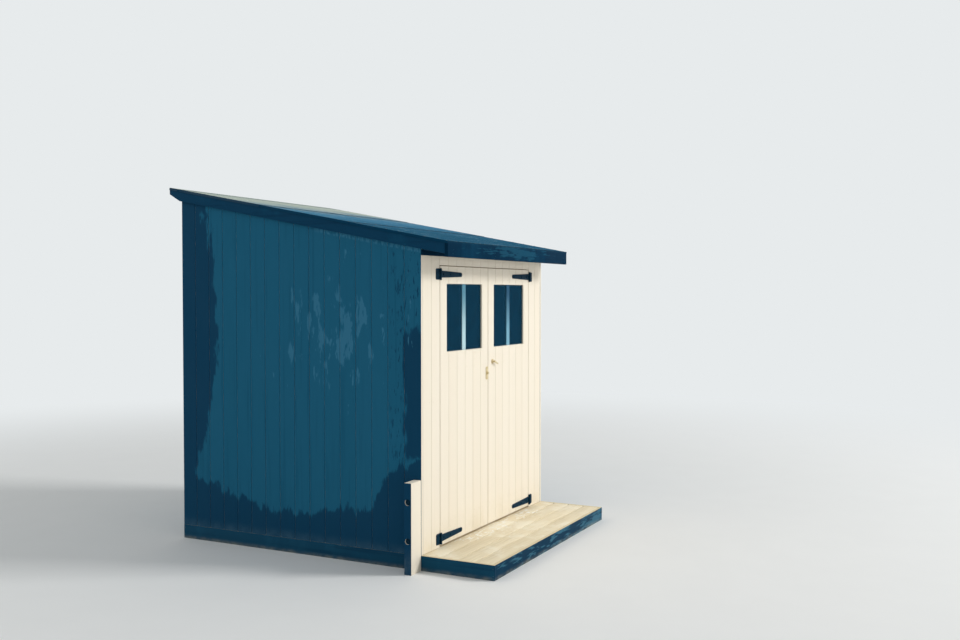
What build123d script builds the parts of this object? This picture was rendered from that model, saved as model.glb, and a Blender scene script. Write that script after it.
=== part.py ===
from build123d import *
from math import atan2, cos, degrees
import os

# A small wooden beach hut: a boarded box on a timber raft, with a roof that falls to the front and a pair of
# outward opening doors on iron T-hinges.
#
# Frame: millimetres, +Z up. The origin is on the ground under the middle of the walls' plan. The doors face -Y,
# +X is to the right of someone who looks at them, and the roof rises towards +Y.

# Walls
wall_width = 1800.0  # outside to outside, along X
wall_depth = 1860.0  # outside to outside, along Y
board_thickness = 20.0  # outer boarding
frame_size = 45.0  # square section of posts and rails
mid_rail_height = 1000.0  # middle of the rails halfway up the walls, above the ground

# Raft
bearer_height = 67.0
bearer_width = 45.0
rim_thickness = 22.0
deck_thickness = 25.0
apron_depth = 488.0  # deck in front of the doors
inner_bearer_offsets = (-450.0, 0.0, 450.0)

# Roof, measured square to its slope apart from the two heights and the overhangs
roof_front_height = 2006.0  # top of the felt over the front face of the walls
roof_back_height = 2360.0  # top of the felt over the back face of the walls
felt_thickness = 4.0
roof_board_thickness = 18.0
rafter_depth = 60.0
rafter_width = 45.0
inner_rafter_offset = 286.0  # middle of the two inner rafters from the hut's middle
front_overhang = 195.0
back_overhang = 85.0
bargeboard_thickness = 22.0
bargeboard_depth = 75.0
felt_lip = 6.0  # felt that stands past the bargeboards
tail_depth = 44.0  # what is left of the bargeboard at its cut back end
front_fascia_thickness = 22.0
front_fascia_depth = 95.0  # straight down from the felt at its front edge
back_fascia_thickness = 20.0
frieze_drop = 119.0  # from roof_front_height down to the frieze's bottom edge
frieze_thickness = 12.0
plate_depth = 70.0  # beam that carries the rafters at the back

# Doorway
doorway_width = 1338.0
doorway_drop = 173.0  # from roof_front_height down to the doorway's top
door_gap = 5.0  # round each leaf, and behind it
meeting_gap = 6.0  # between the two leaves
door_bottom_gap = 10.0
door_thickness = 24.0
stop_overlap = 17.0  # how far the stops reach behind a leaf
threshold_height = 30.0

# Windows in the doors
pane_width = 218.0
mullion_width = 50.0
window_drop = 109.0  # from a leaf's top edge to its panes
pane_height = 423.0
glass_rebate = 9.0  # how far the glass reaches behind the edges of its opening
glass_lap_thickness = 11.0  # wood in front of the glass
mullion_setback = 8.0
glass_thickness = 4.0
bead_width = 14.0

# Ledges and braces on the inner faces of the doors
ledge_thickness = 20.0
ledge_width = 95.0
top_ledge_width = 78.0
ledge_side_gap = 28.0  # from a leaf's edge to the end of a ledge
ledge_chamfer = 6.0
top_ledge_drop = 62.0  # from a leaf's top edge to the ledge's middle
middle_ledge_drop = 86.0  # from the panes' bottom edge to the ledge's middle
bottom_ledge_rise = 113.0  # from a leaf's bottom edge to the ledge's middle
brace_width = 80.0

# T-hinges
bottom_hinge_rise = 44.0  # from a leaf's bottom edge to the hinge's middle
top_hinge_drop = 50.0  # from a leaf's top edge to the hinge's middle
hinge_axis_stand_off = 8.0  # in front of the wall
hinge_metal = 4.0
knuckle_radius = 7.0
pin_radius = 3.5
pin_clearance = 0.05
hinge_plate_height = 68.0
hinge_plate_width = 50.0
middle_knuckle_height = 26.0
knuckle_side_clearance = 0.5
strap_length = 288.0
strap_root_width = 44.0
strap_tip_width = 28.0
strap_shoulder = 10.0  # from the hinge axis to where the strap has its full width
plate_notch = 8.5  # cut out of the plate round the middle knuckle

# Lock and lever
lock_height = 1125.0
lock_plate_width = 30.0
lock_plate_height = 86.0
lock_plate_thickness = 4.0
lock_edge_distance = 20.0  # from the hut's middle to the middle of the lock plate
lock_barrel_radius = 10.0
lock_barrel_length = 9.0
lever_height = 1198.0
lever_edge_distance = 65.0
lever_rose_radius = 16.0
lever_rose_thickness = 4.0
lever_neck_radius = 6.5
lever_stand_off = 16.0  # from the door's face to the back of the lever
lever_length = 60.0
lever_width = 14.0
lever_thickness = 8.0
lever_droop = 20.0  # degrees

# Post that pins the hut's front left corner to the beach
anchor_post_width = 117.0
anchor_post_thickness = 50.0
anchor_post_height = 545.0
anchor_post_chamfer = 4.0

# Places worked out from the sizes above
side_x = wall_width / 2
front_y = -wall_depth / 2
back_y = wall_depth / 2
inner_side_x = side_x - board_thickness
inner_front_y = front_y + board_thickness
inner_back_y = back_y - board_thickness
frame_front_y = inner_front_y + frame_size
frame_back_y = inner_back_y - frame_size
frame_side_x = inner_side_x - frame_size
deck_top = bearer_height + deck_thickness
apron_front_y = front_y - apron_depth
roof_angle = atan2(roof_back_height - roof_front_height, wall_depth)
eaves_y = front_y - front_overhang
eaves_inner_y = eaves_y + front_fascia_thickness
tail_y = back_y + back_overhang
tail_inner_y = tail_y - back_fascia_thickness
under_boards = felt_thickness + roof_board_thickness
under_rafters = under_boards + rafter_depth
under_bargeboard = felt_thickness + bargeboard_depth
bargeboard_x = side_x + bargeboard_thickness
frieze_bottom = roof_front_height - frieze_drop
doorway_x = doorway_width / 2
doorway_top = roof_front_height - doorway_drop
leaf_outer_x = doorway_x - door_gap
leaf_inner_x = meeting_gap / 2
leaf_middle_x = (leaf_outer_x + leaf_inner_x) / 2
leaf_bottom = deck_top + door_bottom_gap
leaf_top = doorway_top - door_gap
leaf_back_y = front_y + door_thickness
stop_y = leaf_back_y + door_gap
stop_x = doorway_x - stop_overlap
stop_bottom = doorway_top - stop_overlap
window_top = leaf_top - window_drop
window_bottom = window_top - pane_height
glass_front_y = front_y + glass_lap_thickness
glass_back_y = glass_front_y + glass_thickness
top_ledge_middle = leaf_top - top_ledge_drop
middle_ledge_middle = window_bottom - middle_ledge_drop
bottom_ledge_middle = leaf_bottom + bottom_ledge_rise
hinge_heights = (leaf_bottom + bottom_hinge_rise, leaf_top - top_hinge_drop)
hinge_axis_y = front_y - hinge_axis_stand_off


def roof_z(y, depth=0.0):
    """Height at y of the plane that lies depth under the top of the felt, measured square to the slope."""
    rise = (roof_back_height - roof_front_height) / wall_depth
    return roof_front_height + (y - front_y) * rise - depth / cos(roof_angle)


def block(x0, x1, y0, y1, z0, z1):
    """A square-edged piece between two opposite corners."""
    middle = Pos((x0 + x1) / 2, (y0 + y1) / 2, (z0 + z1) / 2)
    return middle * Box(abs(x1 - x0), abs(y1 - y0), abs(z1 - z0))


def side_profile(points, x0, x1):
    """A piece with an outline of (y, z) points, as seen from the hut's side, that runs from x0 to x1."""
    outline = Polyline(*[(x0, y, z) for y, z in points], close=True)
    return extrude(make_face(outline), amount=x1 - x0, dir=(1, 0, 0))


def front_profile(points, y0, y1):
    """A piece with an outline of (x, z) points, as seen from the front, that runs from y0 to y1."""
    outline = Polyline(*[(x, y0, z) for x, z in points], close=True)
    return extrude(make_face(outline), amount=y1 - y0, dir=(0, 1, 0))


def under_roof(y0, y1, bottom, depth, x0, x1):
    """An upright or beam from y0 to y1 whose top is cut to the roof's slope, depth under the felt's top."""
    return side_profile([(y0, bottom), (y1, bottom), (y1, roof_z(y1, depth)), (y0, roof_z(y0, depth))], x0, x1)


def both_sides(piece):
    """The piece and its mirror image on the hut's other side."""
    return [piece, mirror(piece, Plane.YZ)]


def base_bearers():
    """Timbers on the sand, from front to back, that carry the deck."""
    y0 = apron_front_y + rim_thickness
    y1 = back_y - rim_thickness
    outer = side_x - rim_thickness - bearer_width / 2
    return [
        block(x - bearer_width / 2, x + bearer_width / 2, y0, y1, 0, bearer_height)
        for x in (-outer, *inner_bearer_offsets, outer)
    ]


def base_rim_side():
    """Rim board along the raft's right side, as tall as the deck's top."""
    return block(side_x - rim_thickness, side_x, apron_front_y, back_y, 0, deck_top)


def base_rim_end(y):
    """Rim board across the raft's front or back, between the side rims."""
    inside = side_x - rim_thickness
    return block(-inside, inside, y, y + rim_thickness, 0, deck_top)


def deck(y0, y1):
    """Deck on the bearers between the side rims, from y0 to y1."""
    inside = side_x - rim_thickness
    return block(-inside, inside, y0, y1, bearer_height, deck_top)


def side_wall():
    """Right side wall: boarding as deep as the hut, with its top cut to the roof."""
    return under_roof(front_y, back_y, deck_top, under_boards, inner_side_x, side_x)


def back_wall():
    """Back boarding, between the side walls and up to the rafters."""
    return under_roof(inner_back_y, back_y, deck_top, under_rafters, -inner_side_x, inner_side_x)


def front_wall_strip():
    """Boarding between the doorway and the right side wall."""
    return block(doorway_x, inner_side_x, front_y, inner_front_y, deck_top, doorway_top)


def front_wall_top():
    """Boarding over the doorway, between the side walls and up to the rafters."""
    return under_roof(front_y, inner_front_y, doorway_top, under_rafters, -inner_side_x, inner_side_x)


def front_frieze():
    """Thin board across the top of the front wall, under the rafters."""
    return under_roof(front_y - frieze_thickness, front_y, frieze_bottom, under_rafters, -side_x, side_x)


def corner_posts():
    """Posts in the four corners, with the outer rafters on top."""
    posts = []
    for y0, y1 in ((inner_front_y, frame_front_y), (frame_back_y, inner_back_y)):
        posts += both_sides(under_roof(y0, y1, deck_top, under_rafters, frame_side_x, inner_side_x))
    return posts


def door_post():
    """Right door post."""
    return block(doorway_x, doorway_x + frame_size, inner_front_y, frame_front_y, deck_top, doorway_top)


def front_plate():
    """Beam over the doorway that carries the rafters at the front."""
    return under_roof(inner_front_y, frame_front_y, doorway_top, under_rafters, -frame_side_x, frame_side_x)


def door_stops():
    """Strips on the door posts and under the front plate that the leaves close against."""
    sides = both_sides(block(stop_x, doorway_x, stop_y, frame_front_y, deck_top, doorway_top))
    head = block(-stop_x, stop_x, stop_y, frame_front_y, stop_bottom, doorway_top)
    return sides + [head]


def back_plate():
    """Beam that carries the rafters at the back."""
    bottom = roof_z(frame_back_y, under_rafters) - plate_depth
    return under_roof(frame_back_y, inner_back_y, bottom, under_rafters, -frame_side_x, frame_side_x)


def threshold():
    """Strip on the deck that stops the leaves' bottom edges."""
    return block(-stop_x, stop_x, stop_y, frame_front_y, deck_top, deck_top + threshold_height)


def wall_rails():
    """Sole rails and middle rails between the posts: sides, back, and beside the doorway."""
    rails = []
    for z in (deck_top, mid_rail_height - frame_size / 2):
        side = block(frame_side_x, inner_side_x, frame_front_y, frame_back_y, z, z + frame_size)
        front = block(doorway_x + frame_size, frame_side_x, inner_front_y, frame_front_y, z, z + frame_size)
        rails += both_sides(side) + both_sides(front)
        rails.append(block(-frame_side_x, frame_side_x, frame_back_y, inner_back_y, z, z + frame_size))
    return rails


def rafter(x):
    """A rafter whose middle is at x, with its tail cut thinner outside the back wall."""
    tail_bottom = roof_z(tail_inner_y, felt_thickness) - tail_depth
    outline = [
        (eaves_inner_y, roof_z(eaves_inner_y, under_boards)),
        (eaves_inner_y, roof_z(eaves_inner_y, under_rafters)),
        (back_y, roof_z(back_y, under_rafters)),
        (tail_inner_y, tail_bottom),
        (tail_inner_y, roof_z(tail_inner_y, under_boards)),
    ]
    return side_profile(outline, x - rafter_width / 2, x + rafter_width / 2)


def rafters():
    """Two rafters on the corner posts and two between them."""
    outer = inner_side_x - rafter_width / 2
    return both_sides(rafter(outer)) + both_sides(rafter(inner_rafter_offset))


def eaves_blocks(y0, y1):
    """Pieces on top of a wall, from y0 to y1, that close the gaps between the rafters."""
    outer = inner_side_x - rafter_width
    inner = inner_rafter_offset + rafter_width / 2
    middle = sloping_sheet(y0, y1, under_boards, under_rafters, -inner + rafter_width, inner - rafter_width)
    return [middle] + both_sides(sloping_sheet(y0, y1, under_boards, under_rafters, inner, outer))


def sloping_sheet(y0, y1, top, bottom, x0, x1):
    """A sheet that lies in the roof's slope between two depths under the felt's top."""
    return side_profile(
        [(y0, roof_z(y0, bottom)), (y1, roof_z(y1, bottom)), (y1, roof_z(y1, top)), (y0, roof_z(y0, top))],
        x0,
        x1,
    )


def roof_boards():
    """Boarding on the rafters."""
    return sloping_sheet(eaves_inner_y, tail_inner_y, felt_thickness, under_boards, -side_x, side_x)


def roof_felt():
    """Felt over the boarding and over the top edges of the fascias and bargeboards."""
    edge = bargeboard_x + felt_lip
    return sloping_sheet(eaves_y, tail_y, 0, felt_thickness, -edge, edge)


def bargeboard():
    """Board on the right edge of the roof, cut thinner where it passes the back wall."""
    outline = [
        (eaves_inner_y, roof_z(eaves_inner_y, felt_thickness)),
        (eaves_inner_y, roof_z(eaves_inner_y, under_bargeboard)),
        (back_y, roof_z(back_y, under_bargeboard)),
        (tail_y, roof_z(tail_y, felt_thickness) - tail_depth),
        (tail_y, roof_z(tail_y, felt_thickness)),
    ]
    return side_profile(outline, side_x, bargeboard_x)


def front_fascia():
    """Deep board across the low front edge of the roof."""
    bottom = roof_z(eaves_y) - front_fascia_depth
    return under_roof(eaves_y, eaves_inner_y, bottom, felt_thickness, -bargeboard_x, bargeboard_x)


def back_fascia():
    """Thin board across the rafters' tails, between the bargeboards."""
    bottom = roof_z(tail_y, felt_thickness) - tail_depth
    return under_roof(tail_inner_y, tail_y, bottom, felt_thickness, -side_x, side_x)


def anchor_post():
    """Short flat-topped post against the hut's front left corner, let into the beach."""
    post = block(
        -side_x - anchor_post_width, -side_x, front_y, front_y + anchor_post_thickness, 0, anchor_post_height
    )
    top_edges = post.faces().sort_by(Axis.Z)[-1].edges()
    return chamfer(top_edges, anchor_post_chamfer)


def pane_block(x0, lap, y0, y1):
    """A block as large as the pane whose low x edge is at x0, with lap more on all four sides."""
    return block(x0 - lap, x0 + pane_width + lap, y0, y1, window_bottom - lap, window_top + lap)


def pane_places():
    """Low x edge of the right leaf's two panes."""
    return (leaf_middle_x - mullion_width / 2 - pane_width, leaf_middle_x + mullion_width / 2)


def door_leaf():
    """Right leaf with two windows, rebated from behind for the glass, and a bar set back between them."""
    leaf = block(leaf_inner_x, leaf_outer_x, front_y, leaf_back_y, leaf_bottom, leaf_top)
    for x0 in pane_places():
        leaf -= pane_block(x0, 0, front_y, leaf_back_y)
        leaf -= pane_block(x0, glass_rebate, glass_front_y, leaf_back_y)
    half_bar = mullion_width / 2
    return leaf - block(
        leaf_middle_x - half_bar,
        leaf_middle_x + half_bar,
        front_y,
        front_y + mullion_setback,
        window_bottom,
        window_top,
    )


def door_glass():
    """The right leaf's two panes of glass, in their rebates."""
    return [pane_block(x0, glass_rebate, glass_front_y, glass_back_y) for x0 in pane_places()]


def door_beads():
    """Beads behind the right leaf's glass, one ring to a pane."""
    inside = glass_rebate - bead_width
    return [
        pane_block(x0, glass_rebate, glass_back_y, leaf_back_y) - pane_block(x0, inside, glass_back_y, leaf_back_y)
        for x0 in pane_places()
    ]


def ledge(middle, width):
    """A ledge across the right leaf's inner face, with its long inner edges chamfered."""
    x0 = leaf_inner_x + ledge_side_gap
    x1 = leaf_outer_x - ledge_side_gap
    back_y0 = leaf_back_y + ledge_thickness
    board = block(x0, x1, leaf_back_y, back_y0, middle - width / 2, middle + width / 2)
    long_edges = board.faces().sort_by(Axis.Y)[-1].edges().filter_by(Axis.X)
    return chamfer(long_edges, ledge_chamfer)


def door_ledges():
    """Ledges on the right leaf's inner face, and the brace that runs up from the hinge side."""
    x0 = leaf_inner_x + ledge_side_gap
    x1 = leaf_outer_x - ledge_side_gap
    low = bottom_ledge_middle + ledge_width / 2
    high = middle_ledge_middle - ledge_width / 2
    brace_back_y = leaf_back_y + ledge_thickness - ledge_chamfer
    brace = front_profile(
        [(x1 - brace_width, low), (x1, low), (x0 + brace_width, high), (x0, high)], leaf_back_y, brace_back_y
    )
    lower = ledge(bottom_ledge_middle, ledge_width) + brace + ledge(middle_ledge_middle, ledge_width)
    return [ledge(top_ledge_middle, top_ledge_width), lower]


def hinge_knuckle(bottom, top, bore):
    """A piece of the hinge's barrel on the right leaf's axis, with its hole."""
    place = Pos(doorway_x, hinge_axis_y, (bottom + top) / 2)
    tube = Cylinder(knuckle_radius, top - bottom)
    if bore:
        tube -= Cylinder(bore, top - bottom)
    return place * tube


def hinge_plate(height):
    """The fixed half of one of the right leaf's T-hinges: plate, outer knuckles and pin."""
    low = height - hinge_plate_height / 2
    high = height + hinge_plate_height / 2
    half = middle_knuckle_height / 2
    y0 = front_y - hinge_metal
    plate = block(doorway_x, doorway_x + hinge_plate_width, y0, front_y, low, high)
    outer_edges = plate.faces().sort_by(Axis.X)[-1].edges().filter_by(Axis.Y)
    plate = fillet(outer_edges, strap_shoulder)
    plate -= block(doorway_x, doorway_x + plate_notch, y0, front_y, height - half, height + half)
    plate += hinge_knuckle(low, height - half, 0)
    plate += hinge_knuckle(height + half, high, 0)
    return plate + Pos(doorway_x, hinge_axis_y, height) * Cylinder(pin_radius, hinge_plate_height)


def hinge_strap(height):
    """The moving half of one of the right leaf's T-hinges: long tapered strap with its middle knuckle."""
    half = middle_knuckle_height / 2 - knuckle_side_clearance
    root = doorway_x - strap_shoulder
    tip = doorway_x - strap_length
    tip_radius = strap_tip_width / 2
    y0 = front_y - hinge_metal
    taper = front_profile(
        [
            (root, height - strap_root_width / 2),
            (root, height + strap_root_width / 2),
            (tip + tip_radius, height + tip_radius),
            (tip + tip_radius, height - tip_radius),
        ],
        y0,
        front_y,
    )
    end = Pos(tip + tip_radius, y0 + hinge_metal / 2, height) * Rot(90, 0, 0) * Cylinder(tip_radius, hinge_metal)
    tongue = block(root, doorway_x, y0, front_y, height - half, height + half)
    bore = Pos(doorway_x, hinge_axis_y, height) * Cylinder(pin_radius + pin_clearance, middle_knuckle_height)
    return taper + end + tongue + hinge_knuckle(height - half, height + half, 0) - bore


def lock_plate():
    """Lock plate on the left leaf's face, beside the gap between the leaves, with the lock's round front."""
    x0 = -lock_edge_distance - lock_plate_width / 2
    half = lock_plate_height / 2
    face_y = front_y - lock_plate_thickness
    plate = block(x0, x0 + lock_plate_width, face_y, front_y, lock_height - half, lock_height + half)
    plate = fillet(plate.edges().filter_by(Axis.Y), lock_plate_width / 4)
    barrel_middle = Pos(-lock_edge_distance, face_y - lock_barrel_length / 2, lock_height)
    return plate + barrel_middle * Rot(90, 0, 0) * Cylinder(lock_barrel_radius, lock_barrel_length)


def door_lever():
    """Drooping lever handle on the right leaf: rose, neck and round-ended lever."""
    neck_length = lever_stand_off + lever_thickness / 2
    at_door = Pos(lever_edge_distance, front_y, lever_height) * Rot(90, 0, 0)
    rose = extrude(Circle(lever_rose_radius), lever_rose_thickness)
    neck = extrude(Circle(lever_neck_radius), neck_length)
    bar = extrude(SlotOverall(lever_length, lever_width), lever_thickness)
    bar_place = Rot(0, 0, -lever_droop) * Pos((lever_length - lever_width) / 2, 0, lever_stand_off)
    return at_door * (rose + neck + bar_place * bar)


def mirrored(pieces):
    """Mirror images of the pieces on the hut's other side."""
    return [mirror(piece, Plane.YZ) for piece in as_list(pieces)]


def as_list(pieces):
    """Pieces as a list, also where there is only one."""
    return pieces if isinstance(pieces, list) else [pieces]


def all_nodes():
    """Every sub-part of the hut, by name."""
    hinge_plates = [hinge_plate(height) for height in hinge_heights]
    hinge_straps = [hinge_strap(height) for height in hinge_heights]
    return {
        "base_bearers": base_bearers(),
        "base_rim_left": mirrored(base_rim_side()),
        "base_rim_right": base_rim_side(),
        "base_rim_front": base_rim_end(apron_front_y),
        "base_rim_back": base_rim_end(back_y - rim_thickness),
        "apron_deck": deck(apron_front_y + rim_thickness, front_y),
        "floor_deck": deck(front_y, back_y - rim_thickness),
        "left_wall": mirrored(side_wall()),
        "right_wall": side_wall(),
        "back_wall": back_wall(),
        "front_wall_left": mirrored(front_wall_strip()),
        "front_wall_right": front_wall_strip(),
        "front_wall_top": front_wall_top(),
        "front_frieze": front_frieze(),
        "corner_posts": corner_posts(),
        "door_posts": both_sides(door_post()),
        "front_plate": front_plate(),
        "back_plate": back_plate(),
        "door_stops": door_stops(),
        "threshold": threshold(),
        "wall_rails": wall_rails(),
        "rafters": rafters(),
        "eaves_blocks": eaves_blocks(front_y, inner_front_y) + eaves_blocks(inner_back_y, back_y),
        "roof_boards": roof_boards(),
        "roof_felt": roof_felt(),
        "left_bargeboard": mirrored(bargeboard()),
        "right_bargeboard": bargeboard(),
        "front_fascia": front_fascia(),
        "back_fascia": back_fascia(),
        "anchor_post": anchor_post(),
        "left_hinge_plates": mirrored(hinge_plates),
        "right_hinge_plates": hinge_plates,
        "left_door_leaf": mirrored(door_leaf()),
        "left_door_ledges": mirrored(door_ledges()),
        "left_door_glass": mirrored(door_glass()),
        "left_door_beads": mirrored(door_beads()),
        "left_door_straps": mirrored(hinge_straps),
        "lock_plate": lock_plate(),
        "right_door_leaf": door_leaf(),
        "right_door_ledges": door_ledges(),
        "right_door_glass": door_glass(),
        "right_door_beads": door_beads(),
        "right_door_straps": hinge_straps,
        "door_lever": door_lever(),
    }


def main():
    os.makedirs("parts", exist_ok=True)
    for name, pieces in all_nodes().items():
        solids = [solid for piece in as_list(pieces) for solid in piece.solids()]
        shape = solids[0] if len(solids) == 1 else Compound(children=solids)
        export_step(shape, f"parts/{name}.step")
    print("roof angle", round(degrees(roof_angle), 2), "degrees")
    print("hinge axes", doorway_x, hinge_axis_y)


main()
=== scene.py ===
import bpy
import math
from functools import reduce
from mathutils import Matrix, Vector


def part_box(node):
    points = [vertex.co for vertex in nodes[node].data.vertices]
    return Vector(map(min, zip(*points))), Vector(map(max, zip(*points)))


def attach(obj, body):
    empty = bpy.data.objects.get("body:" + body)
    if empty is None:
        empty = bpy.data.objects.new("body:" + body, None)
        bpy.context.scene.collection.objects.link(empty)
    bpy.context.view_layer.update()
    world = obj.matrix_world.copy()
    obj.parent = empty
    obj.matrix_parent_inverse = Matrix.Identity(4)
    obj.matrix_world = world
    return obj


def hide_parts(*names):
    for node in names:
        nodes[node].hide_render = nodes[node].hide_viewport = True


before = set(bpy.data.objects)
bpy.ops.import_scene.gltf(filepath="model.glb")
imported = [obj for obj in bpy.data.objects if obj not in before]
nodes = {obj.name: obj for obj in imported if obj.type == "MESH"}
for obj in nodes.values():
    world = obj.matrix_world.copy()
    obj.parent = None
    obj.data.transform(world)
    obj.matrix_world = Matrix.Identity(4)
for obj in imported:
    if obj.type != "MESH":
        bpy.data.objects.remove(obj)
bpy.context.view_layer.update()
bpy.ops.object.select_all(action='DESELECT')
scene = bpy.context.scene


# a Field is a number, colour or place that varies over a surface; sums with it add Math nodes to its tree
class Field:
    def __init__(self, socket):
        self.socket = socket
        self.tree = socket.id_data

    def calculate(self, operation, other=0.0):
        return field(self, "ShaderNodeMath", operation=operation, i0=self, i1=other)

    def __add__(self, other):
        return self.calculate('ADD', other)

    def __sub__(self, other):
        return self.calculate('SUBTRACT', other)

    def __mul__(self, other):
        return self.calculate('MULTIPLY', other)

    def __truediv__(self, other):
        return self.calculate('DIVIDE', other)

    def __abs__(self):
        return self.calculate('ABSOLUTE')


def fill(socket, value):
    if isinstance(value, Field):
        value.tree.links.new(value.socket, socket)
    else:
        socket.default_value = value


def addNode(tree, kind, **settings):
    # a node with its properties and its inputs set by name; i0, i1 and so on are inputs by number
    node = tree.nodes.new(kind)
    for key, value in settings.items():
        if key in node.bl_rna.properties:
            setattr(node, key, value)
        elif key[0] == "i" and key[1:].isdigit():
            fill(node.inputs[int(key[1:])], value)
        else:
            fill(node.inputs[key], value)
    return node


def field(near, kind, output=0, **settings):
    # adds a node to the tree that another field is in
    return Field(addNode(near.tree, kind, **settings).outputs[output])


def larger(a, b):
    return a.calculate('MAXIMUM', b)


def squared(value):
    return value * value


def fade(value, low, high, newLow=0.0, newHigh=1.0):
    # a smooth step between two values
    sockets = {"Value": value, "From Min": low, "From Max": high, "To Min": newLow, "To Max": newHigh}
    return field(value, "ShaderNodeMapRange", interpolation_type='SMOOTHSTEP', **sockets)


def rgba(colour):
    return (*colour[:3], 1)


def ramped(value, stops):
    # stops are (place, colour)
    node = addNode(value.tree, "ShaderNodeValToRGB", Fac=value)
    ramp = node.color_ramp
    while len(ramp.elements) < len(stops):
        ramp.elements.new(0.5)
    for element, (place, colour) in zip(ramp.elements, stops):
        element.position = place
        element.color = rgba(colour)
    return Field(node.outputs["Color"])


def mixed(factor, a, b, blend='MIX'):
    near = factor if isinstance(factor, Field) else b
    a, b = (value if isinstance(value, Field) else rgba(value) for value in (a, b))
    return field(near, "ShaderNodeMix", 2, data_type='RGBA', blend_type=blend, i0=factor, i6=a, i7=b)


def stretched(place, scale):
    return field(place, "ShaderNodeMapping", Vector=place, Scale=scale)


def axesOf(vector):
    separate = addNode(vector.tree, "ShaderNodeSeparateXYZ", Vector=vector)
    return [Field(output) for output in separate.outputs]


def noise(place, scale, detail=4.0, roughness=0.55, distortion=0.0):
    sockets = {"Vector": place, "Scale": scale, "Detail": detail, "Roughness": roughness}
    return field(place, "ShaderNodeTexNoise", "Fac", Distortion=distortion, **sockets)


def drawnOut(place, axis, across, along):
    scale = [across, across, across]
    scale[axis] = along
    return stretched(place, scale)


def grain(place, longAxis, fine, stretch, detail=4.0, distortion=0.0):
    # noise that is drawn out along one axis, as wood and brushed paint are
    return noise(drawnOut(place, longAxis, fine, fine / stretch), 1.0, detail=detail, distortion=distortion)


def newMaterial(name):
    material = bpy.data.materials.new(name)
    material.use_nodes = True
    place = Field(addNode(material.node_tree, "ShaderNodeTexCoord").outputs["Object"])
    return material, material.node_tree.nodes["Principled BSDF"].inputs, place


def mixSurface(material, factor, first, second):
    surface = field(factor, "ShaderNodeMixShader", Fac=factor, i1=first, i2=second)
    fill(material.node_tree.nodes["Material Output"].inputs["Surface"], surface)


def ownShader(material):
    return Field(material.node_tree.nodes["Principled BSDF"].outputs[0])


# camera at the photograph's viewpoint, at eye height
cameraPlace = {
    "eye": (-6.149, -3.970, 1.662), "heading": 26.76, "tiltDown": 1.516,
    "lens": 38.24, "sensor": 36, "clipEnd": 200,
}


def makeCamera():
    heading = math.radians(cameraPlace["heading"])
    tilt = math.radians(cameraPlace["tiltDown"])
    bpy.ops.object.camera_add(location=cameraPlace["eye"])
    camera = bpy.context.object
    level = math.cos(tilt)
    look = Vector((math.cos(heading) * level, math.sin(heading) * level, -math.sin(tilt)))
    camera.rotation_euler = look.to_track_quat('-Z', 'Y').to_euler()
    camera.data.lens = cameraPlace["lens"]
    camera.data.sensor_width = cameraPlace["sensor"]
    camera.data.clip_end = cameraPlace["clipEnd"]
    scene.camera = camera


# plain pale studio: a round floor that fades into the background, the world's light and three soft lamps
studio = {
    "backColour": (0.80, 0.83, 0.84, 1), "worldStrength": 0.57, "aim": (0, 0, 1),
    "floorColour": (0.87, 0.87, 0.855, 1), "floorRough": 0.9, "floorRadius": 60, "floorCorners": 96,
    "fadeFrom": 3.0, "fadeTo": 10.0, "dappleScale": 3.0, "dapple": (0.3, 0.7), "dappleTones": (0.99, 1.0),
    "keyPlace": (7.4, -17.5, 12.0), "keyWatts": 2480, "keySize": 5.0,
    "lowPlace": (6.0, -15.0, 1.0), "lowWatts": 440, "lowSize": 4.0,  # reaches under the eaves
    "fillPlace": (-9.0, 6.0, 6.0), "fillWatts": 120, "fillSize": 6.0,  # weak, at the back left
}


def seenDirectly(tree):
    # 1 for camera, mirror and glass rays, 0 for the light that falls on things
    path = addNode(tree, "ShaderNodeLightPath").outputs
    kinds = ("Camera", "Glossy", "Transmission")
    return reduce(larger, [Field(path["Is " + kind + " Ray"]) for kind in kinds])


def makeWorld():
    world = bpy.data.worlds.new("paleStudio")
    world.use_nodes = True
    tree = world.node_tree
    tree.nodes.clear()
    strength = fade(seenDirectly(tree), 0, 1, studio["worldStrength"], 1.0)
    back = field(strength, "ShaderNodeBackground", Color=studio["backColour"], Strength=strength)
    addNode(tree, "ShaderNodeOutputWorld", Surface=back)
    scene.world = world


def makeFloor():
    corners, radius = studio["floorCorners"], studio["floorRadius"]
    bpy.ops.mesh.primitive_circle_add(vertices=corners, radius=radius, fill_type='NGON')
    floor = bpy.context.object
    floor.name = "floor"
    material, shader, place = newMaterial("paleFloor")
    patches = noise(place, studio["dappleScale"], detail=2)
    dapple = fade(patches, *studio["dapple"], *studio["dappleTones"])
    fill(shader["Base Color"], mixed(1.0, studio["floorColour"], dapple, 'MULTIPLY'))
    fill(shader["Roughness"], studio["floorRough"])
    distance = field(place, "ShaderNodeVectorMath", "Value", operation='LENGTH', i0=place)
    far = fade(distance, studio["fadeFrom"], studio["fadeTo"]) * seenDirectly(place.tree)
    glow = field(place, "ShaderNodeEmission", Color=studio["backColour"], Strength=1.0)
    mixSurface(material, far, ownShader(material), glow)
    floor.data.materials.append(material)


def makeLamps():
    for name in ("key", "low", "fill"):
        bpy.ops.object.light_add(type='AREA', location=studio[name + "Place"])
        lamp = bpy.context.object
        lamp.name = name + "Lamp"
        lamp.data.energy = studio[name + "Watts"]
        lamp.data.size = studio[name + "Size"]
        lamp.rotation_euler = (Vector(studio["aim"]) - lamp.location).to_track_quat('-Z', 'Y').to_euler()


makeCamera()
makeWorld()
makeFloor()
makeLamps()
scene.view_settings.view_transform = 'Standard'
print("camera and studio are ready")


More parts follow.
